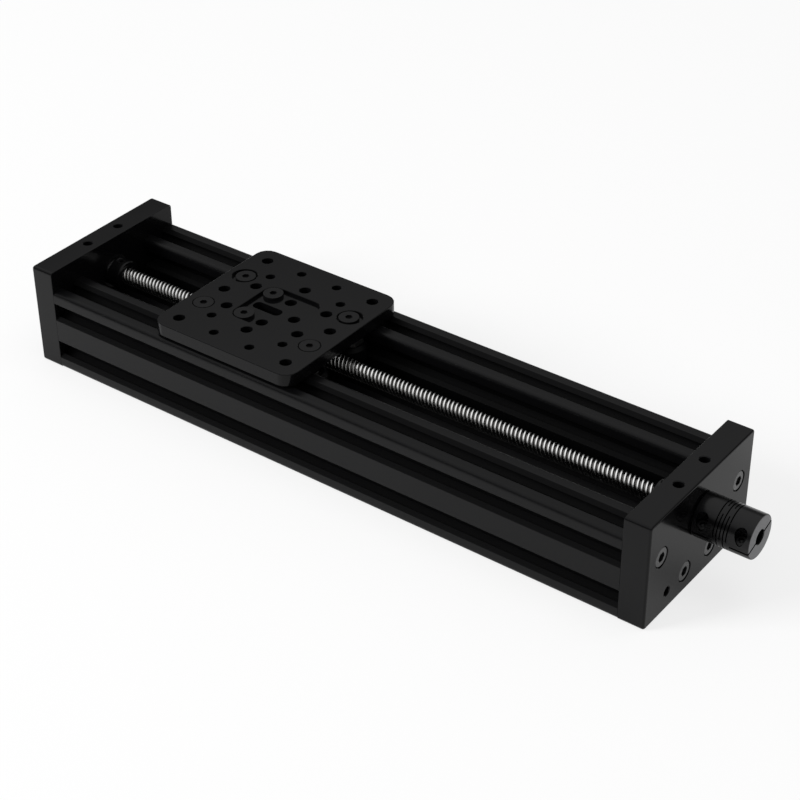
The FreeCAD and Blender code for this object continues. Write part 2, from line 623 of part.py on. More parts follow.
def make_wheel(end, side):
    """Wheel with a V-edged tread, two bearing seats and the shoulder between them."""
    x, y = wheel_place(end, side)
    half_width = WHEEL_WIDTH / 2
    crown_half = SLOT_MOUTH / 2 - WHEEL_BITE - WHEEL_FLANK_CLEARANCE * math.sqrt(2)
    side_radius = WHEEL_RADIUS - (half_width - crown_half)
    seat = WHEEL_BEARING_DIAMETER / 2 + SEAT_CLEARANCE
    shoulder = seat - WHEEL_SHOULDER
    shoulder_half, _ = outer_race_offsets()
    upper = [
        (shoulder, shoulder_half),
        (seat, shoulder_half),
        (seat, half_width),
        (side_radius, half_width),
        (WHEEL_RADIUS, crown_half),
    ]
    outline = upper + [(radius, -height) for radius, height in reversed(upper)]
    return revolved(outline).translated(Vector(x, y, WHEEL_Z))


def make_wheel_spacers():
    """Plain spacers over the two near wheels."""
    spacers = []
    for corner in NEAR_ENDS:
        x, y = wheel_place(*corner)
        low = (x, y, STACK_TOP)
        spacers.append(tube(SPACER_DIAMETER / 2, BOLT_HOLE_RADIUS, low, (x, y, CARRIAGE_BOTTOM)))
    return Part.makeCompound(spacers)


def make_eccentric_spacers():
    """Six-sided spacers over the far wheels: a boss turns in the plate and the bore is off its centre."""
    spacers = []
    for end, side in FAR_ENDS:
        x, y = wheel_place(end, side)
        hole_x = wheel_hole_x(end)
        boss_top = CARRIAGE_BOTTOM + ECCENTRIC_BOSS_HEIGHT
        body = hexagon(ECCENTRIC_ACROSS_FLATS, (hole_x, y, STACK_TOP), (hole_x, y, CARRIAGE_BOTTOM))
        boss = rod(ECCENTRIC_BOSS_DIAMETER / 2, (hole_x, y, CARRIAGE_BOTTOM), (hole_x, y, boss_top))
        bore = rod(BOLT_HOLE_RADIUS, (x, y, STACK_TOP), (x, y, boss_top))
        spacers.append(body.fuse(boss).cut(bore))
    return Part.makeCompound(spacers)


def nut_block_bolt_points():
    """X and Y of the two bolts that hold the nut block."""
    return [(CARRIAGE_X + column * HOLE_GRID, row * HOLE_GRID) for column, row in NUT_BLOCK_BOLT_PLACES]


def backlash_screw_line():
    """Start and end of the backlash screw: it crosses the slit and bears on the fixed half."""
    start = CARRIAGE_X + NUT_BLOCK_SLIT_X - NUT_BLOCK_SLIT / 2
    y = BACKLASH_SCREW_EDGE - NUT_BLOCK_WIDTH / 2
    return (start, y, SCREW_Z), (start + BACKLASH_SCREW_LENGTH, y, SCREW_Z)


def make_nut_block():
    """Nut block: screw bore, bolt holes with nut pockets, and the slit that leaves one side as a hinge."""
    half_length = NUT_BLOCK_LENGTH / 2
    half_width = NUT_BLOCK_WIDTH / 2
    low = (CARRIAGE_X - half_length, -half_width, NUT_BLOCK_BOTTOM)
    high = (CARRIAGE_X + half_length, half_width, NUT_BLOCK_TOP)
    body = block(low, high)
    body = body.makeChamfer(NUT_BLOCK_CHAMFER, edges_along(body, Vector(0, 0, 1)))
    bore_start = (low[0] - OVERCUT, 0, SCREW_Z)
    bore_end = (high[0] + OVERCUT, 0, SCREW_Z)
    cutters = [rod(SCREW_DIAMETER / 2 + RUNNING_CLEARANCE, bore_start, bore_end)]
    slit_x = CARRIAGE_X + NUT_BLOCK_SLIT_X
    slit_low = (slit_x - NUT_BLOCK_SLIT / 2, -half_width - OVERCUT, NUT_BLOCK_BOTTOM - OVERCUT)
    slit_high = (slit_x + NUT_BLOCK_SLIT / 2, half_width - NUT_BLOCK_HINGE, NUT_BLOCK_TOP + OVERCUT)
    cutters.append(block(slit_low, slit_high))
    screw_start, screw_end = backlash_screw_line()
    hole_end = (high[0] + OVERCUT, screw_end[1], screw_end[2])
    cutters.append(rod(BOLT_DIAMETER / 2 + RUNNING_CLEARANCE, screw_start, hole_end))
    pocket_flats = NUT_ACROSS_FLATS + 2 * BOLT_CLEARANCE
    for x, y in nut_block_bolt_points():
        below = (x, y, NUT_BLOCK_BOTTOM - OVERCUT)
        cutters.append(rod(BOLT_HOLE_RADIUS, below, (x, y, NUT_BLOCK_TOP + OVERCUT)))
        cutters.append(hexagon(pocket_flats, below, (x, y, NUT_BLOCK_BOTTOM + NUT_HEIGHT)))
    return body.cut(cutters)


def make_nut_block_spacers():
    """Spacers between the nut block and the carriage plate."""
    spacers = [
        tube(SPACER_DIAMETER / 2, BOLT_HOLE_RADIUS, (x, y, NUT_BLOCK_TOP), (x, y, CARRIAGE_BOTTOM))
        for x, y in nut_block_bolt_points()
    ]
    return Part.makeCompound(spacers)


def make_nut_block_bolts():
    """Bolts that hold the nut block to the carriage plate."""
    bolts = [low_head_bolt(x, y, NUT_BLOCK_BOTTOM - BOLT_END) for x, y in nut_block_bolt_points()]
    return Part.makeCompound(bolts)


def make_nut_block_nuts():
    """Nuts in the nut block's pockets."""
    return Part.makeCompound([nut(x, y, NUT_BLOCK_BOTTOM) for x, y in nut_block_bolt_points()])


def make_backlash_screw():
    """Grub screw that spreads the two halves of the nut block."""
    start, end = backlash_screw_line()
    middle = (end[0] - BOLT_SOCKET, end[1], end[2])
    return rod(BOLT_DIAMETER / 2, start, end).cut(hexagon(BOLT_SOCKET, middle, end))


def make_pieces():
    """Every piece of the slide by its name."""
    pieces = {"rail": make_rail()}
    end_pieces = {
        "end_plate": make_end_plate(),
        "plate_screws": make_plate_screws(),
        "bearing_outer_race": make_bearing_outer_race(),
        "bearing_inner_race": make_bearing_inner_race(),
        "collar_shim": make_collar_shim(),
        "lock_collar": make_lock_collar(),
        "collar_grub_screw": make_collar_grub_screw(),
    }
    for name, shape in end_pieces.items():
        pieces["right_" + name] = shape
        pieces["left_" + name] = turned(shape)
    pieces["lead_screw"] = make_lead_screw()
    pieces["shaft_coupling"] = make_coupling()
    pieces["coupling_clamp_screws"] = make_clamp_screws()
    pieces["carriage_plate"] = make_carriage_plate()
    pieces["nut_block"] = make_nut_block()
    pieces["nut_block_spacers"] = make_nut_block_spacers()
    pieces["nut_block_bolts"] = make_nut_block_bolts()
    pieces["nut_block_nuts"] = make_nut_block_nuts()
    pieces["backlash_screw"] = make_backlash_screw()
    pieces["wheel_bolts"] = at_wheels(make_wheel_bolt)
    pieces["wheel_nuts"] = at_wheels(make_wheel_nut)
    pieces["wheel_shims"] = at_wheels(make_wheel_shim)
    pieces["wheel_inner_races"] = make_inner_races()
    pieces["wheel_spacers"] = make_wheel_spacers()
    pieces["eccentric_spacers"] = make_eccentric_spacers()
    for corner, place in CORNERS.items():
        pieces["wheel_" + corner] = make_wheel(*place)
        pieces["wheel_outer_races_" + corner] = make_outer_races(*place)
    return pieces


os.makedirs("parts", exist_ok=True)
for piece_name, piece_shape in make_pieces().items():
    piece_shape.exportStep("parts/" + piece_name + ".step")
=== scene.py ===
"""Looks of a lead screw linear slide: its pieces, finishes, studio and camera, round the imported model.

Sizes here are millimetres, taken from the frame where a node gives them. Each finished mesh is scaled
to the frame's metres. X runs along the rail, -Y is the near side and +Z is up.
"""

import logging
import math
from abc import ABC, abstractmethod
from dataclasses import dataclass
from enum import Enum
from typing import Any, Callable, Sequence

import bmesh
import bpy
from mathutils import Matrix, Vector


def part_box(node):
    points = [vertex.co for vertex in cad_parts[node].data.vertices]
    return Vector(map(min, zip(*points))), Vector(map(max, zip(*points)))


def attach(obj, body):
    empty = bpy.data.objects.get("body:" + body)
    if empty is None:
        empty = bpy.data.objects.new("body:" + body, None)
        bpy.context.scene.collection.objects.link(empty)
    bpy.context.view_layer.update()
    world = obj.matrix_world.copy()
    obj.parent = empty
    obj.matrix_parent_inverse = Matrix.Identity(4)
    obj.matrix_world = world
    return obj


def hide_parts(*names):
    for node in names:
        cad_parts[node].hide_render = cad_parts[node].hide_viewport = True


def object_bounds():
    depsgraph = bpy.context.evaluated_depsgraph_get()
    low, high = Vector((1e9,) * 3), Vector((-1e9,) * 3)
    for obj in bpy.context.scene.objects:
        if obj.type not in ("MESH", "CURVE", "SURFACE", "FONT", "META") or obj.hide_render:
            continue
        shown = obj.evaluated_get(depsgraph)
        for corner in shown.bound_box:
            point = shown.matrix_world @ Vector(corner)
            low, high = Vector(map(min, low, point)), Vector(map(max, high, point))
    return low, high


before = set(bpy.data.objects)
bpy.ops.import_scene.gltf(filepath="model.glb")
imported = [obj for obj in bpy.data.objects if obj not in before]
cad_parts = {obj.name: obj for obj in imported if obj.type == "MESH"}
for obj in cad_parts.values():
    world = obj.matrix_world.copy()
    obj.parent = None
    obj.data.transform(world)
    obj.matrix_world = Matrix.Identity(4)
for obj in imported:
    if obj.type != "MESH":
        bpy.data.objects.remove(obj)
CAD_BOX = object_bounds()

MM = 0.001
SHARP_ANGLE = math.radians(29)

# How far a cutter runs past a face, and the rise of a step between two radii
OVERCUT = 1.0
STEP_RISE = 0.001

# Straight pieces in the circle of a turned piece, of a hole or screw, and of a fine round
TURNED_SEGMENTS = 64
HOLE_SEGMENTS = 48
FINE_SEGMENTS = 24

# Largest share of a side that the arc at its corner takes
CORNER_LIMIT = 0.45

# A face that looks along X at least this squarely is an end face
SQUARE_ON = 0.99

# Mean of a noise texture, and the settings that the finishes share
NOISE_MEAN = 0.5
NOISE_ROUGHNESS = 0.55
FINE_DETAIL = 2.0
WHITE = (1.0, 1.0, 1.0, 1.0)

log = logging.getLogger("slide")

Point = tuple[float, float]
Triple = tuple[float, float, float]


class Body(Enum):
    """Bodies of the frame that several pieces ride on; each wheel is a body of its own."""

    BASE = "base"
    SCREW = "screw"
    CARRIAGE = "carriage"


class Slot(Enum):
    """Material slots of the record, listed here but given to no piece by this script."""

    RAIL = "rail_black"
    PLATE = "plate_black"
    THREAD = "screw_steel"
    FASTENER = "black_steel"
    COLLAR = "collar_black"
    COUPLING = "coupling_black"
    WHEEL = "wheel_black"
    NUT = "nut_black"
    SPACER = "bare_aluminium"
    ZINC = "zinc_steel"


class Axis(Enum):
    """Way in which a turned piece stands: its own axis is Z before it is placed."""

    ALONG = Matrix.Rotation(math.pi / 2, 4, "Y")
    UP = Matrix.Identity(4)

    def at(self, x: float, y: float, z: float) -> Matrix:
        """Placing of a piece whose axis passes through a point."""
        return Matrix.Translation((x, y, z)) @ self.value


class End(Enum):
    """End of the rail: its pieces are drawn for the right one and turned round for the left one."""

    RIGHT = Matrix.Identity(4)
    LEFT = Matrix.Rotation(math.pi, 4, "Z")

    def node(self, kind: str) -> str:
        """Name of the node of one kind at this end."""
        return f"{self.name.lower()}_{kind}"


class Corner(Enum):
    """Corner of the carriage that has a wheel, as its end and its side."""

    NEAR_LEFT = (-1, -1)
    NEAR_RIGHT = (1, -1)
    FAR_LEFT = (-1, 1)
    FAR_RIGHT = (1, 1)

    @property
    def end(self) -> int:
        """-1 at the left and 1 at the right."""
        return self.value[0]

    @property
    def is_far(self) -> bool:
        """Whether the wheel is adjusted with an eccentric spacer."""
        return self.value[1] > 0

    def node(self, kind: str) -> str:
        """Name of the node of one kind at this corner."""
        return f"{kind}_{self.name.lower()}"


@dataclass(frozen=True)
class Span:
    """Lowest and highest corner of a node at rest, in millimetres."""

    low: Vector
    high: Vector

    @classmethod
    def of(cls, node: str) -> "Span":
        """Span of one node of the frame."""
        low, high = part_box(node)
        return cls(low / MM, high / MM)

    @property
    def size(self) -> Vector:
        """Length along each axis."""
        return self.high - self.low

    @property
    def centre(self) -> Vector:
        """Middle of the span."""
        return (self.low + self.high) / 2


SCREW_HEIGHT = Span.of("lead_screw").centre.z


def circle(radius: float, segments: int = TURNED_SEGMENTS) -> list[Point]:
    """Points of a circle about the origin."""
    turns = [math.tau * step / segments for step in range(segments)]
    return [(radius * math.cos(turn), radius * math.sin(turn)) for turn in turns]


def hexagon(across_flats: float) -> list[Point]:
    """Corners of a hexagon about the origin.

    Args:
        across_flats: the distance between opposite sides.

    Returns:
        The six corners.
    """
    reach = across_flats / 2 / math.cos(math.pi / 6)
    turns = [math.radians(30 + 60 * step) for step in range(6)]
    return [(reach * math.cos(turn), reach * math.sin(turn)) for turn in turns]


def rounded(corners: Sequence[Point], radii: float | Sequence[float], steps: int = 4) -> list[Point]:
    """Closed outline with each corner replaced by an arc.

    Args:
        corners: the outline's corners in order.
        radii: one radius for all the corners, or one for each of them.
        steps: straight pieces in each arc.

    Returns:
        The points of the outline, with steps + 1 points for each corner.
    """
    sizes = [radii] * len(corners) if isinstance(radii, (int, float)) else list(radii)
    points: list[Point] = []
    for index, corner in enumerate(corners):
        here = Vector(corner)
        back = Vector(corners[index - 1]) - here
        ahead = Vector(corners[(index + 1) % len(corners)]) - here
        half_angle = back.angle(ahead) / 2
        limit = CORNER_LIMIT * min(back.length, ahead.length)
        reach = min(sizes[index] / math.tan(half_angle), limit)
        inward = (back.normalized() + ahead.normalized()).normalized()
        centre = here + inward * reach / math.cos(half_angle)
        start = here + back.normalized() * reach - centre
        sweep = start.angle_signed(here + ahead.normalized() * reach - centre)
        for step in range(steps + 1):
            arm = Matrix.Rotation(-sweep * step / steps, 2) @ start
            points.append(tuple(centre + arm))
    return points


def rounded_square(size_a: float, size_b: float, radius: float) -> list[Point]:
    """Rectangle about the origin with rounded corners."""
    a, b = size_a / 2, size_b / 2
    return rounded([(-a, -b), (a, -b), (a, b), (-a, b)], radius)


def rim_levels(low: Point, high: Point, steps: int = 4) -> list[Point]:
    """Levels of a plate whose faces have rounded rims.

    Args:
        low: height of the lower face and radius of its rim.
        high: height of the upper face and radius of its rim.
        steps: straight pieces in each rim.

    Returns:
        (height, inset of the outline) from the lower face to the upper one.
    """
    turns = [math.pi / 2 * step / steps for step in range(steps + 1)]
    lower, upper = [
        [(face + way * radius * (1 - math.sin(turn)), radius * (1 - math.cos(turn))) for turn in turns]
        for (face, radius), way in ((low, 1), (high, -1))
    ]
    return lower[::-1] + upper


def linked(name: str, data: bpy.types.ID) -> bpy.types.Object:
    """New object in the scene.

    Args:
        name: the object's name.
        data: its mesh, lamp or lens.

    Returns:
        The object.
    """
    made = bpy.data.objects.new(name, data)
    bpy.context.scene.collection.objects.link(made)
    return made


class Stock:
    """Workpiece in millimetres: a closed mesh that is cut, placed and joined to others."""

    def __init__(self, mesh: bpy.types.Mesh) -> None:
        """Takes over a mesh."""
        self.mesh = mesh

    @classmethod
    def from_bmesh(cls, made: bmesh.types.BMesh) -> "Stock":
        """Workpiece from an edit mesh, with its faces turned outwards.

        Args:
            made: the edit mesh, which is freed.

        Returns:
            The workpiece.
        """
        bmesh.ops.recalc_face_normals(made, faces=made.faces)
        mesh = bpy.data.meshes.new("stock")
        made.to_mesh(mesh)
        made.free()
        return cls(mesh)

    @classmethod
    def lofted(cls, sections: Sequence[Sequence[Vector]], ring: bool = False) -> "Stock":
        """Skin over closed sections that all have the same number of points.

        Args:
            sections: the sections in order.
            ring: whether the last section joins the first, and otherwise both ends get a flat cap.

        Returns:
            The closed workpiece.
        """
        made = bmesh.new()
        loops = [[made.verts.new(point) for point in section] for section in sections]
        count = len(loops[0])
        pairs = list(zip(loops, loops[1:]))
        if ring:
            pairs.append((loops[-1], loops[0]))
        else:
            made.faces.new(loops[0])
            made.faces.new(loops[-1])
        for lower, upper in pairs:
            for index in range(count):
                ahead = (index + 1) % count
                made.faces.new((lower[index], lower[ahead], upper[ahead], upper[index]))
        return cls.from_bmesh(made)

    @classmethod
    def stacked(cls, outlines: Sequence[tuple[float, Sequence[Point]]], ring: bool = False) -> "Stock":
        """Skin over (height, outline) sections across the Z axis."""
        return cls.lofted([[Vector((a, b, z)) for a, b in outline] for z, outline in outlines], ring)

    @classmethod
    def turned(
        cls, profile: Sequence[Point], ring: bool = False, segments: int = TURNED_SEGMENTS
    ) -> "Stock":
        """Piece turned about its Z axis, from (radius, height) points; a ring's profile is closed."""
        return cls.stacked([(height, circle(radius, segments)) for radius, height in profile], ring)

    @classmethod
    def slab(cls, size: Vector, radius: float, levels: Sequence[Point]) -> "Stock":
        """Plate with rounded corners about the Z axis.

        Args:
            size: the plate's two sizes.
            radius: the corners' radius.
            levels: (height, inset of the outline) from the bottom to the top.

        Returns:
            The closed workpiece.
        """
        outlines = []
        for height, inset in levels:
            outline = rounded_square(size[0] - 2 * inset, size[1] - 2 * inset, radius - inset)
            outlines.append((height, outline))
        return cls.stacked(outlines)

    @classmethod
    def six_sided(cls, flats: float, levels: Sequence[Point]) -> "Stock":
        """Hexagonal piece about the Z axis, from (height, inset of its sides) levels."""
        return cls.stacked([(height, hexagon(flats - 2 * inset)) for height, inset in levels])

    @classmethod
    def bar(cls, outline: Sequence[Point], low: float, high: float) -> "Stock":
        """Straight bar of one outline from one height to another."""
        return cls.stacked([(low, outline), (high, outline)])

    @classmethod
    def block(cls, low: Sequence[float], high: Sequence[float]) -> "Stock":
        """Box between two opposite corners, used as a cutter."""
        outline = [(low[0], low[1]), (high[0], low[1]), (high[0], high[1]), (low[0], high[1])]
        return cls.bar(outline, low[2], high[2])

    @staticmethod
    def joined(parts: Sequence["Stock"]) -> "Stock":
        """One workpiece from several that don't touch.

        Args:
            parts: the workpieces.

        Returns:
            All of them as one.
        """
        made = bmesh.new()
        for part in parts:
            made.from_mesh(part.mesh)
        return Stock.from_bmesh(made)

    def placed(self, placing: Matrix) -> "Stock":
        """Copy of the workpiece in another place.

        Args:
            placing: the move from this place to that one.

        Returns:
            The copy.
        """
        mesh = self.mesh.copy()
        mesh.transform(placing)
        return Stock(mesh)

    def copies(self, places: Sequence[Matrix]) -> list["Stock"]:
        """Copy of the workpiece in each of several places."""
        return [self.placed(place) for place in places]

    def cut(self, *cutters: "Stock") -> "Stock":
        """Takes away cutters that don't touch each other.

        Args:
            cutters: the workpieces to take away.

        Returns:
            What is left.
        """
        work = linked("work", self.mesh)
        tool = linked("tool", Stock.joined(cutters).mesh)
        change = work.modifiers.new("cut", "BOOLEAN")
        change.operation = "DIFFERENCE"
        change.solver = "EXACT"
        change.object = tool
        ready = work.evaluated_get(bpy.context.evaluated_depsgraph_get())
        left = bpy.data.meshes.new_from_object(ready)
        bpy.data.objects.remove(work)
        bpy.data.objects.remove(tool)
        return Stock(left)


def drilled(
    radius: float, low: float, high: float, mouth_low: float = 0.0, mouth_high: float = 0.0
) -> Stock:
    """Cutter for a through hole with a chamfer at each mouth, about the Z axis.

    Args:
        radius: the hole's radius.
        low: height of the lower face.
        high: height of the upper face.
        mouth_low: chamfer at the lower face.
        mouth_high: chamfer at the upper face.

    Returns:
        The cutter, which runs past both faces.
    """
    lower = OVERCUT if mouth_low else 0.0
    upper = OVERCUT if mouth_high else 0.0
    profile = [
        (radius + mouth_low + lower, low - OVERCUT),
        (radius, low + mouth_low),
        (radius, high - mouth_high),
        (radius + mouth_high + upper, high + OVERCUT),
    ]
    return Stock.turned(profile, segments=HOLE_SEGMENTS)


def sunk(radius: float, floor: float, face: float, mouth: float) -> Stock:
    """Cutter for a blind hole about the Z axis, from a chamfered mouth down to its floor."""
    profile = [(radius, floor), (radius, face - mouth), (radius + mouth + OVERCUT, face + OVERCUT)]
    return Stock.turned(profile, segments=HOLE_SEGMENTS)


def stepped(low: Point, seat: float, high: Point, mouth: float) -> Stock:
    """Cutter for a through hole of two radii, about the Z axis.

    Args:
        low: height of the lower face and radius of the hole there.
        seat: height at which the radius changes.
        high: height of the upper face and radius of the hole there.
        mouth: chamfer at the upper face.

    Returns:
        The cutter, which runs past both faces.
    """
    bottom, lower_radius = low
    top, upper_radius = high
    return Stock.turned([
        (lower_radius, bottom - OVERCUT),
        (lower_radius, seat),
        (upper_radius, seat + STEP_RISE),
        (upper_radius, top - mouth),
        (upper_radius + mouth + OVERCUT, top + OVERCUT),
    ])


@dataclass(frozen=True)
class CapScrew:
    """Cap screw with a hexagon socket, and the hole that takes it."""

    radius: float
    head_radius: float
    head_height: float
    socket_flats: float
    socket_depth: float
    edge: float
    edge_share: float = 0.3
    tip_edge: float = 0.5
    shank_gap: float = 0.1
    head_gap: float = 0.3
    drill_share: float = 0.96
    drill_point: float = 0.2
    drill_tip: float = 0.01
    drill_lap: float = 0.02

    @property
    def hole_radius(self) -> float:
        """Radius of the hole round the shank."""
        return self.radius + self.shank_gap

    @property
    def counterbore_radius(self) -> float:
        """Radius of the hole round the head."""
        return self.head_radius + self.head_gap

    def stock(self, tip: float, seat: float) -> Stock:
        """Screw on the Z axis.

        Args:
            tip: height of its tip.
            seat: height of the seat under its head.

        Returns:
            The screw, with the point that a drill leaves in the socket's floor.
        """
        top = seat + self.head_height
        soft = self.edge * self.edge_share
        blank = Stock.turned(
            [
                (self.radius - self.tip_edge, tip),
                (self.radius, tip + self.tip_edge),
                (self.radius, seat),
                (self.head_radius, seat + STEP_RISE),
                (self.head_radius, top - self.edge),
                (self.head_radius - soft, top - soft),
                (self.head_radius - self.edge, top),
            ],
            segments=HOLE_SEGMENTS,
        )
        flats, floor = self.socket_flats, top - self.socket_depth
        socket = Stock.bar(hexagon(flats), floor, top + OVERCUT)
        point = (self.drill_tip, floor - flats * self.drill_point)
        rim = (flats / 2 * self.drill_share, floor + self.drill_lap)
        drill = Stock.turned([point, rim], segments=FINE_SEGMENTS)
        return blank.cut(socket).cut(drill)


@dataclass(frozen=True)
class Bolting:
    """Low-headed bolt, nut and plain spacer that hold a piece under the carriage plate."""

    screw: CapScrew = CapScrew(
        radius=2.5, head_radius=4.6, head_height=1.5, socket_flats=3.0, socket_depth=1.1, edge=0.15
    )
    bolt_end: float = 0.3
    nut_flats: float = 8.0
    nut_height: float = 4.0
    nut_edge: float = 0.4
    thread_gap: float = 0.02
    spacer_radius: float = 4.0
    spacer_edge: float = 0.25

    def bolt(self, top: float, nut_low: float) -> Stock:
        """Bolt on the Z axis, from the top of its head to its end under the nut."""
        return self.screw.stock(nut_low - self.bolt_end, top - self.screw.head_height)

    def nut(self, low: float) -> Stock:
        """Hexagon nut on the Z axis.

        Args:
            low: height of its lower face.

        Returns:
            The nut.
        """
        height, edge = self.nut_height, self.nut_edge
        levels = [(0, edge), (edge / 2, 0), (height - edge / 2, 0), (height, edge)]
        bore = drilled(self.screw.radius + self.thread_gap, 0, height, edge, edge)
        blank = Stock.six_sided(self.nut_flats, levels)
        return blank.cut(bore).placed(Matrix.Translation((0, 0, low)))

    def spacer(self, low: float, high: float) -> Stock:
        """Ring on the Z axis with broken outer edges.

        Args:
            low: height of its lower face.
            high: height of its upper face.

        Returns:
            The ring.
        """
        inner, outer, edge = self.screw.hole_radius, self.spacer_radius, self.spacer_edge
        profile = [
            (inner, low),
            (outer - edge, low),
            (outer, low + edge),
            (outer, high - edge),
            (outer - edge, high),
            (inner, high),
        ]
        return Stock.turned(profile, ring=True, segments=HOLE_SEGMENTS)


class Signal:
    """Socket of a shader node that Python expressions combine."""

    def __init__(self, graph: "ShaderGraph", socket: bpy.types.NodeSocket | None) -> None:
        """Wraps one output socket of a graph."""
        self.graph = graph
        self.socket = socket

    def output(self, name: str) -> "Signal":
        """Another output of the same node."""
        return Signal(self.graph, self.socket.node.outputs[name])

    def _math(
        self, operation: str, first: "Signal | float", second: "Signal | float" = 0.0
    ) -> "Signal":
        """Math node on two values."""
        return self.graph.node("ShaderNodeMath", {"operation": operation}, {0: first, 1: second})

    def __add__(self, other: "Signal | float") -> "Signal":
        """Sum."""
        return self._math("ADD", self, other)

    __radd__ = __add__

    def __sub__(self, other: "Signal | float") -> "Signal":
        """Difference."""
        return self._math("SUBTRACT", self, other)

    def __rsub__(self, other: float) -> "Signal":
        """Difference from a number."""
        return self._math("SUBTRACT", other, self)

    def __mul__(self, other: "Signal | float") -> "Signal":
        """Product."""
        return self._math("MULTIPLY", self, other)

    __rmul__ = __mul__

    def __truediv__(self, other: "Signal | float") -> "Signal":
        """Quotient."""
        return self._math("DIVIDE", self, other)

    def __rtruediv__(self, other: float) -> "Signal":
        """Quotient of a number."""
        return self._math("DIVIDE", other, self)

    def root(self) -> "Signal":
        """Square root."""
        return self._math("SQRT", self)

    def sine(self) -> "Signal":
        """Sine of an angle in radians."""
        return self._math("SINE", self)

    def larger(self, other: "Signal | float") -> "Signal":
        """The larger of two values."""
        return self._math("MAXIMUM", self, other)

    def clamped(self) -> "Signal":
        """Value kept between 0 and 1."""
        return self.graph.node("ShaderNodeClamp", {}, {"Value": self})


class ShaderGraph:
    """Node tree of one material or world."""

    def __init__(self, tree: bpy.types.NodeTree) -> None:
        """Empties a tree and takes it over."""
        tree.nodes.clear()
        self.tree = tree

    def node(
        self,
        kind: str,
        settings: dict[str, Any] | None = None,
        sockets: dict[str | int, Any] | None = None,
        output: str | int = 0,
    ) -> Signal:
        """Adds one node.

        Args:
            kind: the node's type.
            settings: its settings, which are set first.
            sockets: values or signals for its inputs, by name or number.
            output: the output to return.

        Returns:
            That output, or an empty signal for a node that has none.
        """
        made = self.tree.nodes.new(kind)
        for name, value in (settings or {}).items():
            if name == "stops":
                self._set_stops(made.color_ramp, value)
            else:
                setattr(made, name, value)
        for name, value in (sockets or {}).items():
            if isinstance(value, Signal):
                self.tree.links.new(value.socket, made.inputs[name])
            else:
                made.inputs[name].default_value = value
        return Signal(self, made.outputs[output] if len(made.outputs) else None)

    @staticmethod
    def _set_stops(ramp: bpy.types.ColorRamp, stops: Sequence[Point]) -> None:
        """Gives a ramp its (place, grey level) stops.

        Args:
            ramp: the ramp of a node.
            stops: at least two stops, from left to right.
        """
        while len(ramp.elements) < len(stops):
            ramp.elements.new(1.0)
        for element, (place, level) in zip(ramp.elements, stops):
            element.position = place
            element.color = (level, level, level, 1.0)

    def place(self) -> Signal:
        """Place on the piece, in metres of the frame."""
        return self.node("ShaderNodeTexCoord", output="Object")

    def stretched(self, vector: Signal, factors: Triple) -> Signal:
        """Vector with each part multiplied."""
        return self.node("ShaderNodeVectorMath", {"operation": "MULTIPLY"}, {0: vector, 1: factors})

    def from_screw_axis(self, place: Signal) -> Signal:
        """Distance from the screw's axis.

        Args:
            place: the place on the piece.

        Returns:
            The distance in metres.
        """
        parts = self.node("ShaderNodeSeparateXYZ", {}, {0: place})
        across = parts.output("Y")
        above = parts.output("Z") - SCREW_HEIGHT * MM
        return (across * across + above * above).root()

    def noise(self, vector: Signal, scale: float, detail: float = 3.0) -> Signal:
        """Smooth noise from 0 to 1, with about scale features to the metre."""
        sockets = {"Vector": vector, "Scale": scale, "Detail": detail, "Roughness": NOISE_ROUGHNESS}
        return self.node("ShaderNodeTexNoise", {}, sockets)

    def blended(self, share: Signal, first: Triple, second: Triple) -> Signal:
        """Colour between two others."""
        sockets = {0: share, 6: (*first, 1.0), 7: (*second, 1.0)}
        return self.node("ShaderNodeMix", {"data_type": "RGBA"}, sockets, 2)

    def bumped(self, height: Signal, depth: float, strength: float) -> Signal:
        """Normal of a surface with small heights, whose full depth is in metres."""
        sockets = {"Strength": strength, "Distance": depth, "Height": height}
        return self.node("ShaderNodeBump", {}, sockets)

    def ray_kinds(self) -> tuple[Signal, Signal]:
        """Whether a ray comes from the camera, and whether it comes from gloss or glass."""
        camera = self.node("ShaderNodeLightPath", output="Is Camera Ray")
        return camera, camera.output("Is Glossy Ray").larger(camera.output("Is Transmission Ray"))

    def surface(self, **sockets: Any) -> None:
        """Ends the graph with a surface shader.

        Args:
            sockets: the shader's inputs, named with _ for a space.
        """
        named = {name.replace("_", " "): value for name, value in sockets.items()}
        shader = self.node("ShaderNodeBsdfPrincipled", {}, named)
        self.node("ShaderNodeOutputMaterial", {}, {"Surface": shader})


@dataclass(frozen=True)
class Finish(ABC):
    """Finish of a surface, made once and shared by the pieces that have it."""

    name: str

    def material(self) -> bpy.types.Material:
        """The finish as a material.

        Returns:
            The material, which is made when it is first asked for.
        """
        made = bpy.data.materials.get(self.name)
        if made is None:
            made = bpy.data.materials.new(self.name)
            made.use_nodes = True
            self.paint(ShaderGraph(made.node_tree))
        return made

    @abstractmethod
    def paint(self, graph: ShaderGraph) -> None:
        """Adds the finish's nodes.

        Args:
            graph: the material's empty graph.
        """


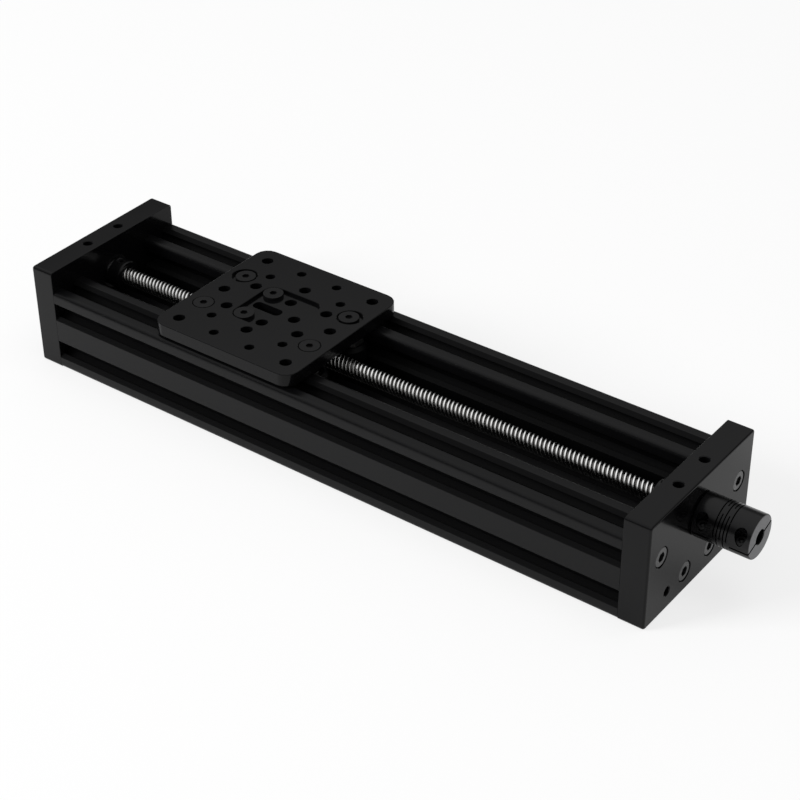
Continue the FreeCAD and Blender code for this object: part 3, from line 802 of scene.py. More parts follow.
@dataclass(frozen=True)
class BlackAnodised(Finish):
    """Black anodised metal with the fine streaks and cloudy sheen that its making leaves."""

    dark: Triple = (0.0018, 0.0018, 0.0020)
    light: Triple = (0.0030, 0.0030, 0.0033)
    roughness: float = 0.3
    roughness_spread: float = 0.08
    streaks: Triple = (8.0, 2600.0, 2600.0)
    streak_detail: float = 4.0
    streak_depth: float = 0.00002
    streak_strength: float = 0.12
    clouds: float = 35.0
    ior: float = 1.26

    def paint(self, graph: ShaderGraph) -> None:
        """Adds the finish's nodes.

        Args:
            graph: the material's empty graph.
        """
        place = graph.place()
        streak = graph.noise(graph.stretched(place, self.streaks), 1.0, self.streak_detail)
        cloud = graph.noise(place, self.clouds)
        rough = self.roughness + self.roughness_spread * (streak + cloud - 2 * NOISE_MEAN)
        graph.surface(
            Base_Color=graph.blended(cloud, self.dark, self.light),
            Roughness=rough,
            IOR=self.ior,
            Normal=graph.bumped(streak, self.streak_depth, self.streak_strength),
        )


@dataclass(frozen=True)
class RolledThread(Finish):
    """Bright rolled steel thread with painted shade that darkens its colour down into the roots, and a
    few random patches of a little oil.
    """

    crest: float = 4.0
    root: float = 2.75
    bright: Triple = (0.97, 0.97, 0.96)
    # Dark colour of the painted root shade and of the oil patches
    shade_and_oil_colour: Triple = (0.16, 0.155, 0.15)
    root_shade_share: float = 0.95
    patches: float = 45.0
    patch_share: float = 0.1
    roughness: float = 0.13
    root_roughness: float = 0.1
    grain: float = 2400.0
    grain_stretch: Triple = (1.0, 0.3, 0.3)
    grain_roughness: float = 0.08
    grain_depth: float = 0.000012
    grain_strength: float = 0.15

    def paint(self, graph: ShaderGraph) -> None:
        """Adds the finish's nodes.

        Args:
            graph: the material's empty graph.
        """
        place = graph.place()
        radius = graph.from_screw_axis(place)
        down = ((self.crest * MM - radius) / ((self.crest - self.root) * MM)).clamped()
        grain = graph.noise(graph.stretched(place, self.grain_stretch), self.grain)
        patch = graph.noise(place, self.patches)
        # Painted shade: the colour darkens from the crests down into the roots, where shade falls; the
        # random patches stand for a little oil.
        root_shade_and_oil = (down * self.root_shade_share + patch * self.patch_share).clamped()
        graph.surface(
            Base_Color=graph.blended(root_shade_and_oil, self.bright, self.shade_and_oil_colour),
            Roughness=self.roughness + self.grain_roughness * grain + self.root_roughness * down,
            Metallic=1.0,
            Normal=graph.bumped(grain, self.grain_depth, self.grain_strength),
        )


@dataclass(frozen=True)
class Steel(Finish):
    """Steel with a plated, blackened or ground surface."""

    dark: Triple
    light: Triple
    metallic: float = 1.0
    roughness: float = 0.3
    roughness_spread: float = 0.1
    blotches: float = 420.0
    grain: float = 5200.0
    grain_roughness: float = 0.06
    grain_depth: float = 0.00001
    grain_strength: float = 0.12
    ior: float = 1.45

    def paint(self, graph: ShaderGraph) -> None:
        """Adds the finish's nodes.

        Args:
            graph: the material's empty graph.
        """
        place = graph.place()
        blotch = graph.noise(place, self.blotches)
        grain = graph.noise(place, self.grain, FINE_DETAIL)
        blotchy = self.roughness + self.roughness_spread * (blotch - NOISE_MEAN)
        graph.surface(
            Base_Color=graph.blended(blotch, self.dark, self.light),
            Roughness=blotchy + self.grain_roughness * grain,
            Metallic=self.metallic,
            IOR=self.ior,
            Normal=graph.bumped(grain, self.grain_depth, self.grain_strength),
        )


@dataclass(frozen=True)
class FacedMetal(Finish):
    """End face left by a lathe tool: fine rings about the screw axis."""

    dark: Triple = (0.13, 0.13, 0.135)
    light: Triple = (0.19, 0.19, 0.195)
    roughness: float = 0.34
    roughness_spread: float = 0.1
    ring_pitch: float = 0.18
    ring_share: float = 0.5
    ring_depth: float = 0.00001
    ring_strength: float = 0.1
    clouds: float = 260.0

    def paint(self, graph: ShaderGraph) -> None:
        """Adds the finish's nodes.

        Args:
            graph: the material's empty graph.
        """
        place = graph.place()
        radius = graph.from_screw_axis(place)
        rings = (radius * (math.tau / (self.ring_pitch * MM))).sine() * 0.5 + 0.5
        cloud = graph.noise(place, self.clouds)
        shade = (self.ring_share * rings + (1 - self.ring_share) * cloud).clamped()
        graph.surface(
            Base_Color=graph.blended(shade, self.dark, self.light),
            Roughness=self.roughness + self.roughness_spread * (cloud - NOISE_MEAN),
            Metallic=1.0,
            Normal=graph.bumped(rings, self.ring_depth, self.ring_strength),
        )


@dataclass(frozen=True)
class Moulded(Finish):
    """Hard plastic with a fine even grain."""

    dark: Triple = (0.0012, 0.0012, 0.0013)
    light: Triple = (0.0024, 0.0024, 0.0026)
    roughness: float = 0.46
    roughness_spread: float = 0.12
    grain: float = 2600.0
    grain_depth: float = 0.00002
    grain_strength: float = 0.2
    clouds: float = 120.0
    ior: float = 1.16

    def paint(self, graph: ShaderGraph) -> None:
        """Adds the finish's nodes.

        Args:
            graph: the material's empty graph.
        """
        place = graph.place()
        grain = graph.noise(place, self.grain, FINE_DETAIL)
        cloud = graph.noise(place, self.clouds)
        graph.surface(
            Base_Color=graph.blended(cloud, self.dark, self.light),
            Roughness=self.roughness + self.roughness_spread * (grain + cloud - 2 * NOISE_MEAN),
            IOR=self.ior,
            Normal=graph.bumped(grain, self.grain_depth, self.grain_strength),
        )


@dataclass(frozen=True)
class WhiteFloor(Finish):
    """Floor that is white to the camera and in reflections, and keeps a soft shadow."""

    white: float = 0.95
    shadow_share: float = 0.25
    mirrored_share: float = 0.2

    def paint(self, graph: ShaderGraph) -> None:
        """Adds the finish's nodes.

        Args:
            graph: the material's empty graph.
        """
        camera, mirrored = graph.ray_kinds()
        share = (camera * (1 - self.shadow_share)).larger(mirrored * self.mirrored_share)
        lit = graph.node("ShaderNodeBsdfDiffuse", {}, {"Color": (*[self.white] * 3, 1.0)})
        bright = graph.node("ShaderNodeEmission", {}, {"Color": WHITE, "Strength": 1.0})
        mixed = graph.node("ShaderNodeMixShader", {}, {0: share, 1: lit, 2: bright})
        graph.node("ShaderNodeOutputMaterial", {}, {"Surface": mixed})


FLOOR_FINISH = WhiteFloor("white_floor")
RAIL_FINISH = BlackAnodised("drawn_black_anodised")
# Painted shade: the faces inside the slots get a rougher coat whose darker colour paints the shade that
# falls there.
SLOT_SHADE_FINISH = BlackAnodised(
    "slot_shade_black_anodised",
    dark=(0.0012, 0.0012, 0.0013),
    light=(0.0020, 0.0020, 0.0022),
    roughness=0.5,
    ior=1.2,
)
PLATE_FINISH = BlackAnodised(
    "milled_black_anodised",
    roughness=0.15,
    roughness_spread=0.06,
    streaks=(900.0, 900.0, 900.0),
    streak_depth=0.00001,
    streak_strength=0.06,
)
TURNED_FINISH = BlackAnodised(
    "turned_black_anodised",
    roughness=0.2,
    streaks=(4200.0, 40.0, 40.0),
    streak_depth=0.000012,
    ior=1.32,
)
THREAD_FINISH = RolledThread("rolled_thread_steel")
FACED_FINISH = FacedMetal("faced_coupling_end")
FASTENER_FINISH = Steel(
    "blackened_steel", (0.002, 0.002, 0.0022), (0.005, 0.005, 0.0053), metallic=0.0, ior=1.28
)
OILED_FINISH = Steel("oiled_black_steel", (0.11, 0.11, 0.111), (0.15, 0.15, 0.151))
RACE_FINISH = Steel("ground_race_steel", (0.5, 0.5, 0.5), (0.62, 0.62, 0.62), roughness=0.18)
ZINC_FINISH = Steel("zinc_plated_steel", (0.2, 0.2, 0.196), (0.3, 0.3, 0.292), roughness=0.36)
WHEEL_FINISH = Moulded("wheel_plastic")
NUT_FINISH = Moulded("nut_block_plastic", roughness=0.5, grain=1500.0)


def add_piece(
    name: str,
    stock: Stock,
    finish: Finish,
    body: str,
    accent: tuple[Finish, Callable[[bpy.types.MeshPolygon], bool]] | None = None,
) -> None:
    """Turns a workpiece into the piece of the slide that stands for a node.

    Args:
        name: the node that the piece stands for.
        stock: the workpiece.
        finish: its finish.
        body: the body that it rides on.
        accent: a second finish and the test of the faces that have it.
    """
    mesh = stock.mesh
    piece = linked(name + "_dressed", mesh)
    mesh.materials.clear()
    mesh.materials.append(finish.material())
    if accent:
        other, chosen = accent
        mesh.materials.append(other.material())
        for polygon in mesh.polygons:
            polygon.material_index = int(chosen(polygon))
    mesh.transform(Matrix.Scale(MM, 4))
    mesh.shade_smooth()
    mesh.set_sharp_from_angle(angle=SHARP_ANGLE)
    evened = piece.modifiers.new("even_shading", "WEIGHTED_NORMAL")
    evened.keep_sharp = True
    depsgraph = bpy.context.evaluated_depsgraph_get()
    piece.data = bpy.data.meshes.new_from_object(
        piece.evaluated_get(depsgraph), preserve_all_data_layers=True, depsgraph=depsgraph
    )
    piece.modifiers.clear()
    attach(piece, body)
    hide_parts(name)
    log.info("%s: %d faces, rides on %s", piece.name, len(piece.data.polygons), body)


def dress_node(node: str, finish: Finish) -> None:
    """Gives a node of the frame its finish and leaves its shape.

    Args:
        node: the node's name.
        finish: its finish.
    """
    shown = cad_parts[node]
    shown.data.materials.clear()
    shown.data.materials.append(finish.material())
    log.info("%s: shown as it is, in %s", node, finish.name)


@dataclass
class Rail:
    """C-shaped slotted rail, drawn as one outline with its closed hollows and cores."""

    span: Span
    corner_radius: float = 2.0
    lip_radius: float = 0.3
    mouth: float = 9.16
    throat: float = 5.8
    lip: float = 1.8
    cavity: float = 11.0
    floor: float = 5.5
    depth: float = 6.1
    web: float = 1.6
    core_radius: float = 2.1
    # Depth under the outer faces from which the slot faces get the painted shade
    shade_from: float = 0.672

    @property
    def cell(self) -> float:
        """Size of one slot cell."""
        return self.span.size.z / 2

    def slot_corners(self) -> list[Point]:
        """Shape of one slot.

        Returns:
            Its corners as (place along the face, depth under it).
        """
        mouth_depth = (self.mouth - self.throat) / 2
        taper_depth = self.depth - (self.cavity - self.floor) / 2
        side = [
            (-self.mouth / 2, 0.0),
            (-self.throat / 2, mouth_depth),
            (-self.throat / 2, self.lip),
            (-self.cavity / 2, self.lip),
            (-self.cavity / 2, taper_depth),
            (-self.floor / 2, self.depth),
        ]
        return side + [(-along, under) for along, under in reversed(side)]

    def outline(self) -> list[Point]:
        """Outer outline, with a slot in the middle of each cell's open face.

        Returns:
            The outline as (y, z) points.
        """
        cell = self.cell
        corners = [(-2, 0), (2, 0), (2, 2), (1, 2), (1, 1), (-1, 1), (-1, 2), (-2, 2)]
        points: list[Point] = []
        radii: list[float] = []
        for index, corner in enumerate(corners):
            start = Vector(corner) * cell
            end = Vector(corners[(index + 1) % len(corners)]) * cell
            along = (end - start).normalized()
            inward = Vector((-along.y, along.x))
            inner_corner = corner[1] == 1
            points.append(tuple(start))
            radii.append(self.lip_radius if inner_corner else self.corner_radius)
            for step in range(round((end - start).length / cell)):
                middle = start + along * cell * (step + 0.5)
                for place, under in self.slot_corners():
                    points.append(tuple(middle + along * place + inward * under))
                    radii.append(self.lip_radius)
        return rounded(points, radii)

    def hollow(self, y: float, z: float, upright: bool, necks: Sequence[int]) -> list[Point]:
        """Closed hollow between two cells.

        Args:
            y: its centre across the rail.
            z: its height.
            upright: whether the two cells stand one over the other.
            necks: the sides on which the hollow reaches towards an outer face.

        Returns:
            Its outline as (y, z) points.
        """
        neck_half = (self.cell - self.cavity) / 2 - self.web
        shoulder = self.floor / 2 + self.depth - neck_half
        neck_end = self.cell / 2 - self.lip
        corners: list[Point] = []
        for way in (1, -1):
            corners.append((way * self.depth, way * self.floor / 2))
            corners.append((way * neck_half, way * shoulder))
            if way in necks:
                corners.append((way * neck_half, way * neck_end))
                corners.append((-way * neck_half, way * neck_end))
            corners.append((-way * neck_half, way * shoulder))
            corners.append((-way * self.depth, way * self.floor / 2))
        if upright:
            return rounded([(y + b, z + a) for a, b in corners], self.lip_radius)
        return rounded([(y + a, z + b) for a, b in corners], self.lip_radius)

    def openings(self) -> list[list[Point]]:
        """All the closed hollows and round cores.

        Returns:
            Their outlines as (y, z) points.
        """
        cell = self.cell
        core = circle(self.core_radius, FINE_SEGMENTS)
        found = [self.hollow(0, cell / 2, False, (1, -1))]
        for side in (-1, 1):
            found.append(self.hollow(side * 1.5 * cell, cell, True, (1, -1)))
            found.append(self.hollow(side * cell, cell / 2, False, (-1,)))
            for y, z in ((0.5, 0.5), (1.5, 0.5), (1.5, 1.5)):
                found.append([(side * y * cell + a, z * cell + b) for a, b in core])
        return found

    def stock(self) -> Stock:
        """The rail's mesh.

        Returns:
            Every outline drawn out along X, with both ends filled.
        """
        made = bmesh.new()
        ends = (self.span.low.x, self.span.high.x)
        rims: list[list[bmesh.types.BMEdge]] = [[], []]
        for outline in [self.outline(), *self.openings()]:
            loops = [[made.verts.new((x, y, z)) for y, z in outline] for x in ends]
            for index, (first, second) in enumerate(zip(*loops)):
                ahead = (index + 1) % len(outline)
                made.faces.new((first, loops[0][ahead], loops[1][ahead], second))
            for rim, loop in zip(rims, loops):
                for index, vertex in enumerate(loop):
                    rim.append(made.edges.get((vertex, loop[(index + 1) % len(loop)])))
        for rim in rims:
            bmesh.ops.triangle_fill(made, edges=rim, use_beauty=True)
        return Stock.from_bmesh(made)

    def is_inside_slot(self, polygon: bpy.types.MeshPolygon) -> bool:
        """Whether a face lies within the mouth of a slot, where the coat is rougher and its darker
        colour paints the shade.

        Args:
            polygon: a face of the rail.

        Returns:
            True under the rail's outer faces, apart from both ends.
        """
        cell = self.cell
        y, z = abs(polygon.center.y), polygon.center.z
        in_leg = cell < y < 2 * cell and 0 < z < 2 * cell
        in_base = y < cell and 0 < z < cell
        if not (in_leg or in_base) or abs(polygon.normal.x) > SQUARE_ON:
            return False
        depths = [z, (2 * cell if in_leg else cell) - z]
        if in_leg:
            depths.append(2 * cell - y)
        if in_leg and z > cell:
            depths.append(y - cell)
        return self.shade_from < min(depths) < cell

    def build(self) -> None:
        """Adds the rail."""
        # The faces inside the slots take the rougher finish whose darker colour paints their shade
        inside = (SLOT_SHADE_FINISH, self.is_inside_slot)
        add_piece("rail", self.stock(), RAIL_FINISH, Body.BASE.value, inside)


@dataclass
class EndPlates:
    """The two end plates with their sunk cap screws; the left one is the right one turned round."""

    span: Span
    cell: float
    corner_radius: float = 1.5
    rim: float = 1.0
    inner_rim: float = 0.25
    seat_radius: float = 8.02
    seat_depth: float = 5.0
    passage_radius: float = 6.0
    tapped_radius: float = 2.1
    tapped_mouth: float = 0.35
    motor_spacing: float = 47.14
    top_spacing: float = 20.0
    top_depth: float = 14.0
    screw: CapScrew = CapScrew(
        radius=2.5, head_radius=4.25, head_height=5.0, socket_flats=4.0, socket_depth=2.5, edge=0.5
    )
    screw_length: float = 20.0
    head_recess: float = 0.2
    counterbore_mouth: float = 0.2

    @property
    def screw_places(self) -> list[Matrix]:
        """Placings of the cap screws, each in the core of a cell."""
        cells = [(-1.5, 1.5), (1.5, 1.5), (-0.5, 0.5), (0.5, 0.5)]
        return [Axis.ALONG.at(0, y * self.cell, z * self.cell) for y, z in cells]

    @property
    def screw_seat(self) -> float:
        """X of the seat under each screw head of the right-hand plate."""
        return self.span.high.x - self.head_recess - self.screw.head_height

    def plate(self) -> Stock:
        """Right-hand plate.

        Returns:
            The plate with its bearing seat, screw holes, motor holes and the tapped holes in its top.
        """
        inner, outer, top = self.span.low.x, self.span.high.x, self.span.high.z
        middle, screw, mouth = self.span.centre, self.screw, self.tapped_mouth
        size = Vector((self.span.size.z, self.span.size.y))
        levels = rim_levels((inner, self.inner_rim), (outer, self.rim))
        blank = Stock.slab(size, self.corner_radius, levels)

        seat_end = inner + self.seat_depth
        bearing = stepped((inner, self.seat_radius), seat_end, (outer, self.passage_radius), mouth)
        wide = (outer, screw.counterbore_radius)
        sunken = stepped((inner, screw.hole_radius), self.screw_seat, wide, self.counterbore_mouth)
        motor = drilled(self.tapped_radius, inner, outer, mouth, mouth)
        motor_z = SCREW_HEIGHT - self.motor_spacing / 2
        tapped = sunk(self.tapped_radius, top - self.top_depth, top, mouth)
        cutters = [bearing.placed(Axis.ALONG.at(0, 0, SCREW_HEIGHT))]
        cutters += sunken.copies(self.screw_places)
        for side in (-1, 1):
            cutters.append(motor.placed(Axis.ALONG.at(0, side * self.motor_spacing / 2, motor_z)))
            cutters.append(tapped.placed(Axis.UP.at(middle.x, side * self.top_spacing / 2, 0)))
        return blank.placed(Axis.ALONG.at(0, middle.y, middle.z)).cut(*cutters)

    def screws(self) -> Stock:
        """The four screws of the right-hand plate."""
        screw = self.screw.stock(self.screw_seat - self.screw_length, self.screw_seat)
        return Stock.joined(screw.copies(self.screw_places))

    def build(self) -> None:
        """Adds both plates and their screws."""
        plate, screws, ride = self.plate(), self.screws(), Body.BASE.value
        for end in End:
            name = end.node("end_plate")
            add_piece(name, plate.placed(end.value), PLATE_FINISH, ride)
            name = end.node("plate_screws")
            add_piece(name, screws.placed(end.value), OILED_FINISH, ride)


@dataclass
class LeadScrew:
    """Four-start trapezoidal screw with the lock collar, ring and bearing at each end."""

    span: Span
    collar: Span
    starts: int = 4
    pitch: float = 2.0
    thread_depth: float = 1.25
    crest_width: float = 0.66
    flank_width: float = 0.335
    edge_round: float = 0.06
    end_chamfer: float = 0.8
    columns: int = 40
    collar_chamfer: float = 0.5
    bore_clearance: float = 0.02
    grub_radius: float = 2.05
    grub_sink: float = 0.1
    grub_mouth: float = 0.2

    @property
    def radius(self) -> float:
        """Radius over the crests."""
        return self.span.size.z / 2

    @property
    def lead(self) -> float:
        """Way along X that one turn takes."""
        return self.starts * self.pitch

    def thread_rows(self) -> list[Point]:
        """Rows that one pitch of the thread is drawn with.

        Returns:
            (place along the pitch, radius) of each row.
        """
        crest, root = self.radius, self.radius - self.thread_depth
        soft = self.edge_round
        flank_end = self.crest_width + self.flank_width
        return [
            (0.0, crest - soft),
            (soft, crest),
            (self.crest_width - soft, crest),
            (self.crest_width, crest - soft),
            (flank_end, root),
            (self.pitch - self.flank_width, root),
        ]

    def thread_point(
        self, made: bmesh.types.BMesh, first: float, radius: float, column: int
    ) -> bmesh.types.BMVert:
        """Vertex of one row of the thread.

        Args:
            made: the mesh that gets the vertex.
            first: the row's place along X at its first column.
            radius: the row's radius.
            column: the column round the screw.

        Returns:
            The vertex.
        """
        turn = math.tau * column / self.columns
        x = first + self.lead * column / self.columns
        from_end = max(0.0, min(x - self.span.low.x, self.span.high.x - x))
        reach = min(radius, self.radius - self.end_chamfer + from_end)
        return made.verts.new((x, reach * math.cos(turn), SCREW_HEIGHT + reach * math.sin(turn)))

    def thread(self) -> Stock:
        """Screw mesh.

        Returns:
            Rows that follow the helix, trimmed square at both ends.
        """
        low, high = self.span.low.x, self.span.high.x
        rows = self.thread_rows()
        count = math.ceil((high - low + self.lead) / self.pitch) + 2
        made = bmesh.new()
        grid = []
        for turn in range(count):
            for offset, radius in rows:
                first = low - self.lead - self.pitch + turn * self.pitch + offset
                grid.append([self.thread_point(made, first, radius, c) for c in range(self.columns)])
        shift = self.starts * len(rows)
        for row in range(len(grid) - 1):
            for column in range(self.columns):
                ahead, onward = column + 1, row
                if ahead == self.columns:
                    ahead, onward = 0, row + shift
                if onward + 1 < len(grid):
                    upper, lower = grid[row + 1], grid[row]
                    made.faces.new(
                        (lower[column], grid[onward][ahead], grid[onward + 1][ahead], upper[column])
                    )
        for level, way in ((low, -1), (high, 1)):
            everything = [*made.verts, *made.edges, *made.faces]
            bmesh.ops.bisect_plane(
                made, geom=everything, plane_co=(level, 0, 0), plane_no=(way, 0, 0), clear_outer=True
            )
            open_edges = [edge for edge in made.edges if edge.is_boundary]
            rim = [edge for edge in open_edges if abs(edge.verts[0].co.x - level) < self.pitch / 4]
            bmesh.ops.edgeloop_fill(made, edges=rim)
        return Stock.from_bmesh(made)

    def lock_collar(self) -> Stock:
        """Right-hand lock collar.

        Returns:
            The collar with the hole for its grub screw.
        """
        low, high = self.collar.low.x, self.collar.high.x
        outer = self.collar.size.y / 2
        bore = self.radius + self.bore_clearance
        edge = self.collar_chamfer
        ring = Stock.turned(
            [
                (bore, low + edge / 2),
                (bore + edge / 2, low),
                (outer - edge, low),
                (outer, low + edge),
                (outer, high - edge),
                (outer - edge, high),
                (bore + edge / 2, high),
                (bore, high - edge / 2),
            ],
            ring=True,
        ).placed(Axis.ALONG.at(0, 0, SCREW_HEIGHT))
        hole = drilled(self.grub_radius, 0, outer - self.grub_sink, 0, self.grub_mouth)
        return ring.cut(hole.placed(Axis.UP.at(self.collar.centre.x, 0, SCREW_HEIGHT)))

    def build(self) -> None:
        """Adds the screw and its collars, and dresses the small rings."""
        ride = Body.SCREW.value
        add_piece("lead_screw", self.thread(), THREAD_FINISH, ride)
        collar = self.lock_collar()
        for end in End:
            name = end.node("lock_collar")
            add_piece(name, collar.placed(end.value), TURNED_FINISH, ride)
            dress_node(end.node("collar_grub_screw"), FASTENER_FINISH)
            dress_node(end.node("collar_shim"), OILED_FINISH)
            for race in ("bearing_outer_race", "bearing_inner_race"):
                dress_node(end.node(race), RACE_FINISH)


@dataclass
class Coupling:
    """Flexible coupling: clamping hubs with their cap screws, and slits that flex between them."""

    span: Span
    edge: float = 0.5
    edge_share: float = 0.3
    bore_edge: float = 0.3
    screw_bore: float = 4.02
    motor_bore: float = 3.175
    bore_step: float = 0.1
    segments: int = 96
    hub_length: float = 8.2
    hub_slit: float = 1.0
    slit_angle: float = 19.5
    flex_slit: float = 0.5
    flex_count: int = 5
    flex_pitch: float = 1.42
    flex_web: float = 4.0
    flex_steps: int = 24
    clamp: CapScrew = CapScrew(
        radius=1.25,
        head_radius=2.25,
        head_height=2.5,
        socket_flats=2.25,
        socket_depth=1.25,
        edge=0.3,
        edge_share=1 / 3,
        tip_edge=0.25,
        shank_gap=0.05,
    )
    clamp_length: float = 6.0
    clamp_seat: float = 1.1
    clamp_from_end: float = 4.1
    clamp_offset: float = 6.55

    @property
    def radius(self) -> float:
        """Outer radius."""
        return self.span.size.y / 2

    @property
    def turned_frame(self) -> Matrix:
        """Placing of what is drawn about X with its slit level."""
        lift = Matrix.Translation((0, 0, SCREW_HEIGHT))
        return lift @ Matrix.Rotation(math.radians(self.slit_angle), 4, "X")

    @property
    def clamp_places(self) -> list[Matrix]:
        """Placings of the two clamp screws, before the coupling is turned."""
        places = (self.span.low.x + self.clamp_from_end, self.span.high.x - self.clamp_from_end)
        return [Axis.UP.at(x, -self.clamp_offset, 0) for x in places]

    def blank(self) -> Stock:
        """Round body about X.

        Returns:
            The body with a bore from each end.
        """
        low, high, middle = self.span.low.x, self.span.high.x, self.span.centre.x
        outer, edge, soft = self.radius, self.edge, self.bore_edge
        slight = edge * self.edge_share
        profile = [
            (self.screw_bore + soft, low),
            (outer - edge, low),
            (outer - slight, low + slight),
            (outer, low + edge),
            (outer, high - edge),
            (outer - slight, high - slight),
            (outer - edge, high),
            (self.motor_bore + soft, high),
            (self.motor_bore, high - soft),
            (self.motor_bore, middle + self.bore_step),
            (self.screw_bore, middle - self.bore_step),
            (self.screw_bore, low + soft),
        ]
        return Stock.turned(profile, ring=True, segments=self.segments).placed(Axis.ALONG.value)

    def flexing_slits(self) -> list[Stock]:
        """Cutters of the slits between the hubs.

        Returns:
            Two half slits for each, whose webs alternate by a quarter turn.
        """
        reach = self.radius + OVERCUT
        lift = math.asin(self.flex_web / 2 / reach)
        sweep, steps = math.pi - 2 * lift, self.flex_steps
        turns = [lift + sweep * step / steps for step in range(steps + 1)]
        segment = [(reach * math.cos(turn), reach * math.sin(turn)) for turn in turns]
        first = self.span.centre.x - self.flex_pitch * (self.flex_count - 1) / 2
        cutters = []
        for step in range(self.flex_count):
            x = first + step * self.flex_pitch
            faces = (x - self.flex_slit / 2, x + self.flex_slit / 2)
            half = Stock.lofted([[Vector((face, a, b)) for a, b in segment] for face in faces])
            quarters = (step % 2, step % 2 + 2)
            cutters += half.copies([Matrix.Rotation(turn * math.pi / 2, 4, "X") for turn in quarters])
        return cutters

    def body(self) -> Stock:
        """Coupling body.

        Returns:
            The body with its slits and clamp holes, in its place.
        """
        low, high, wide = self.span.low.x, self.span.high.x, self.radius + OVERCUT
        clamp, seat, half_slit = self.clamp, self.clamp_seat, self.hub_slit / 2
        hubs = ((low - OVERCUT, low + self.hub_length), (high - self.hub_length, high + OVERCUT))
        slits = [
            Stock.block((start, -wide, -half_slit), (end, wide, half_slit)) for start, end in hubs
        ]
        hole = Stock.turned([
            (clamp.hole_radius, seat - self.clamp_length - clamp.shank_gap),
            (clamp.hole_radius, seat),
            (clamp.counterbore_radius, seat + STEP_RISE),
            (clamp.counterbore_radius, wide),
        ])
        body = self.blank().cut(*slits, *self.flexing_slits())
        return body.cut(*hole.copies(self.clamp_places)).placed(self.turned_frame)

    def clamp_screws(self) -> Stock:
        """The cap screw of each hub."""
        screw = self.clamp.stock(self.clamp_seat - self.clamp_length, self.clamp_seat)
        return Stock.joined(screw.copies(self.clamp_places)).placed(self.turned_frame)

    def is_end_face(self, polygon: bpy.types.MeshPolygon) -> bool:
        """Whether a face belongs to one of the two faced ends.

        Args:
            polygon: a face of the coupling.

        Returns:
            True for the flat faces at both ends.
        """
        ends = (self.span.low.x, self.span.high.x)
        at_end = min(abs(polygon.center.x - end) for end in ends) < self.edge / 4
        return at_end and abs(polygon.normal.x) > SQUARE_ON

    def build(self) -> None:
        """Adds the coupling and its clamp screws."""
        ride, ends = Body.SCREW.value, (FACED_FINISH, self.is_end_face)
        add_piece("shaft_coupling", self.body(), TURNED_FINISH, ride, ends)
        screws = self.clamp_screws()
        add_piece("coupling_clamp_screws", screws, FASTENER_FINISH, ride)


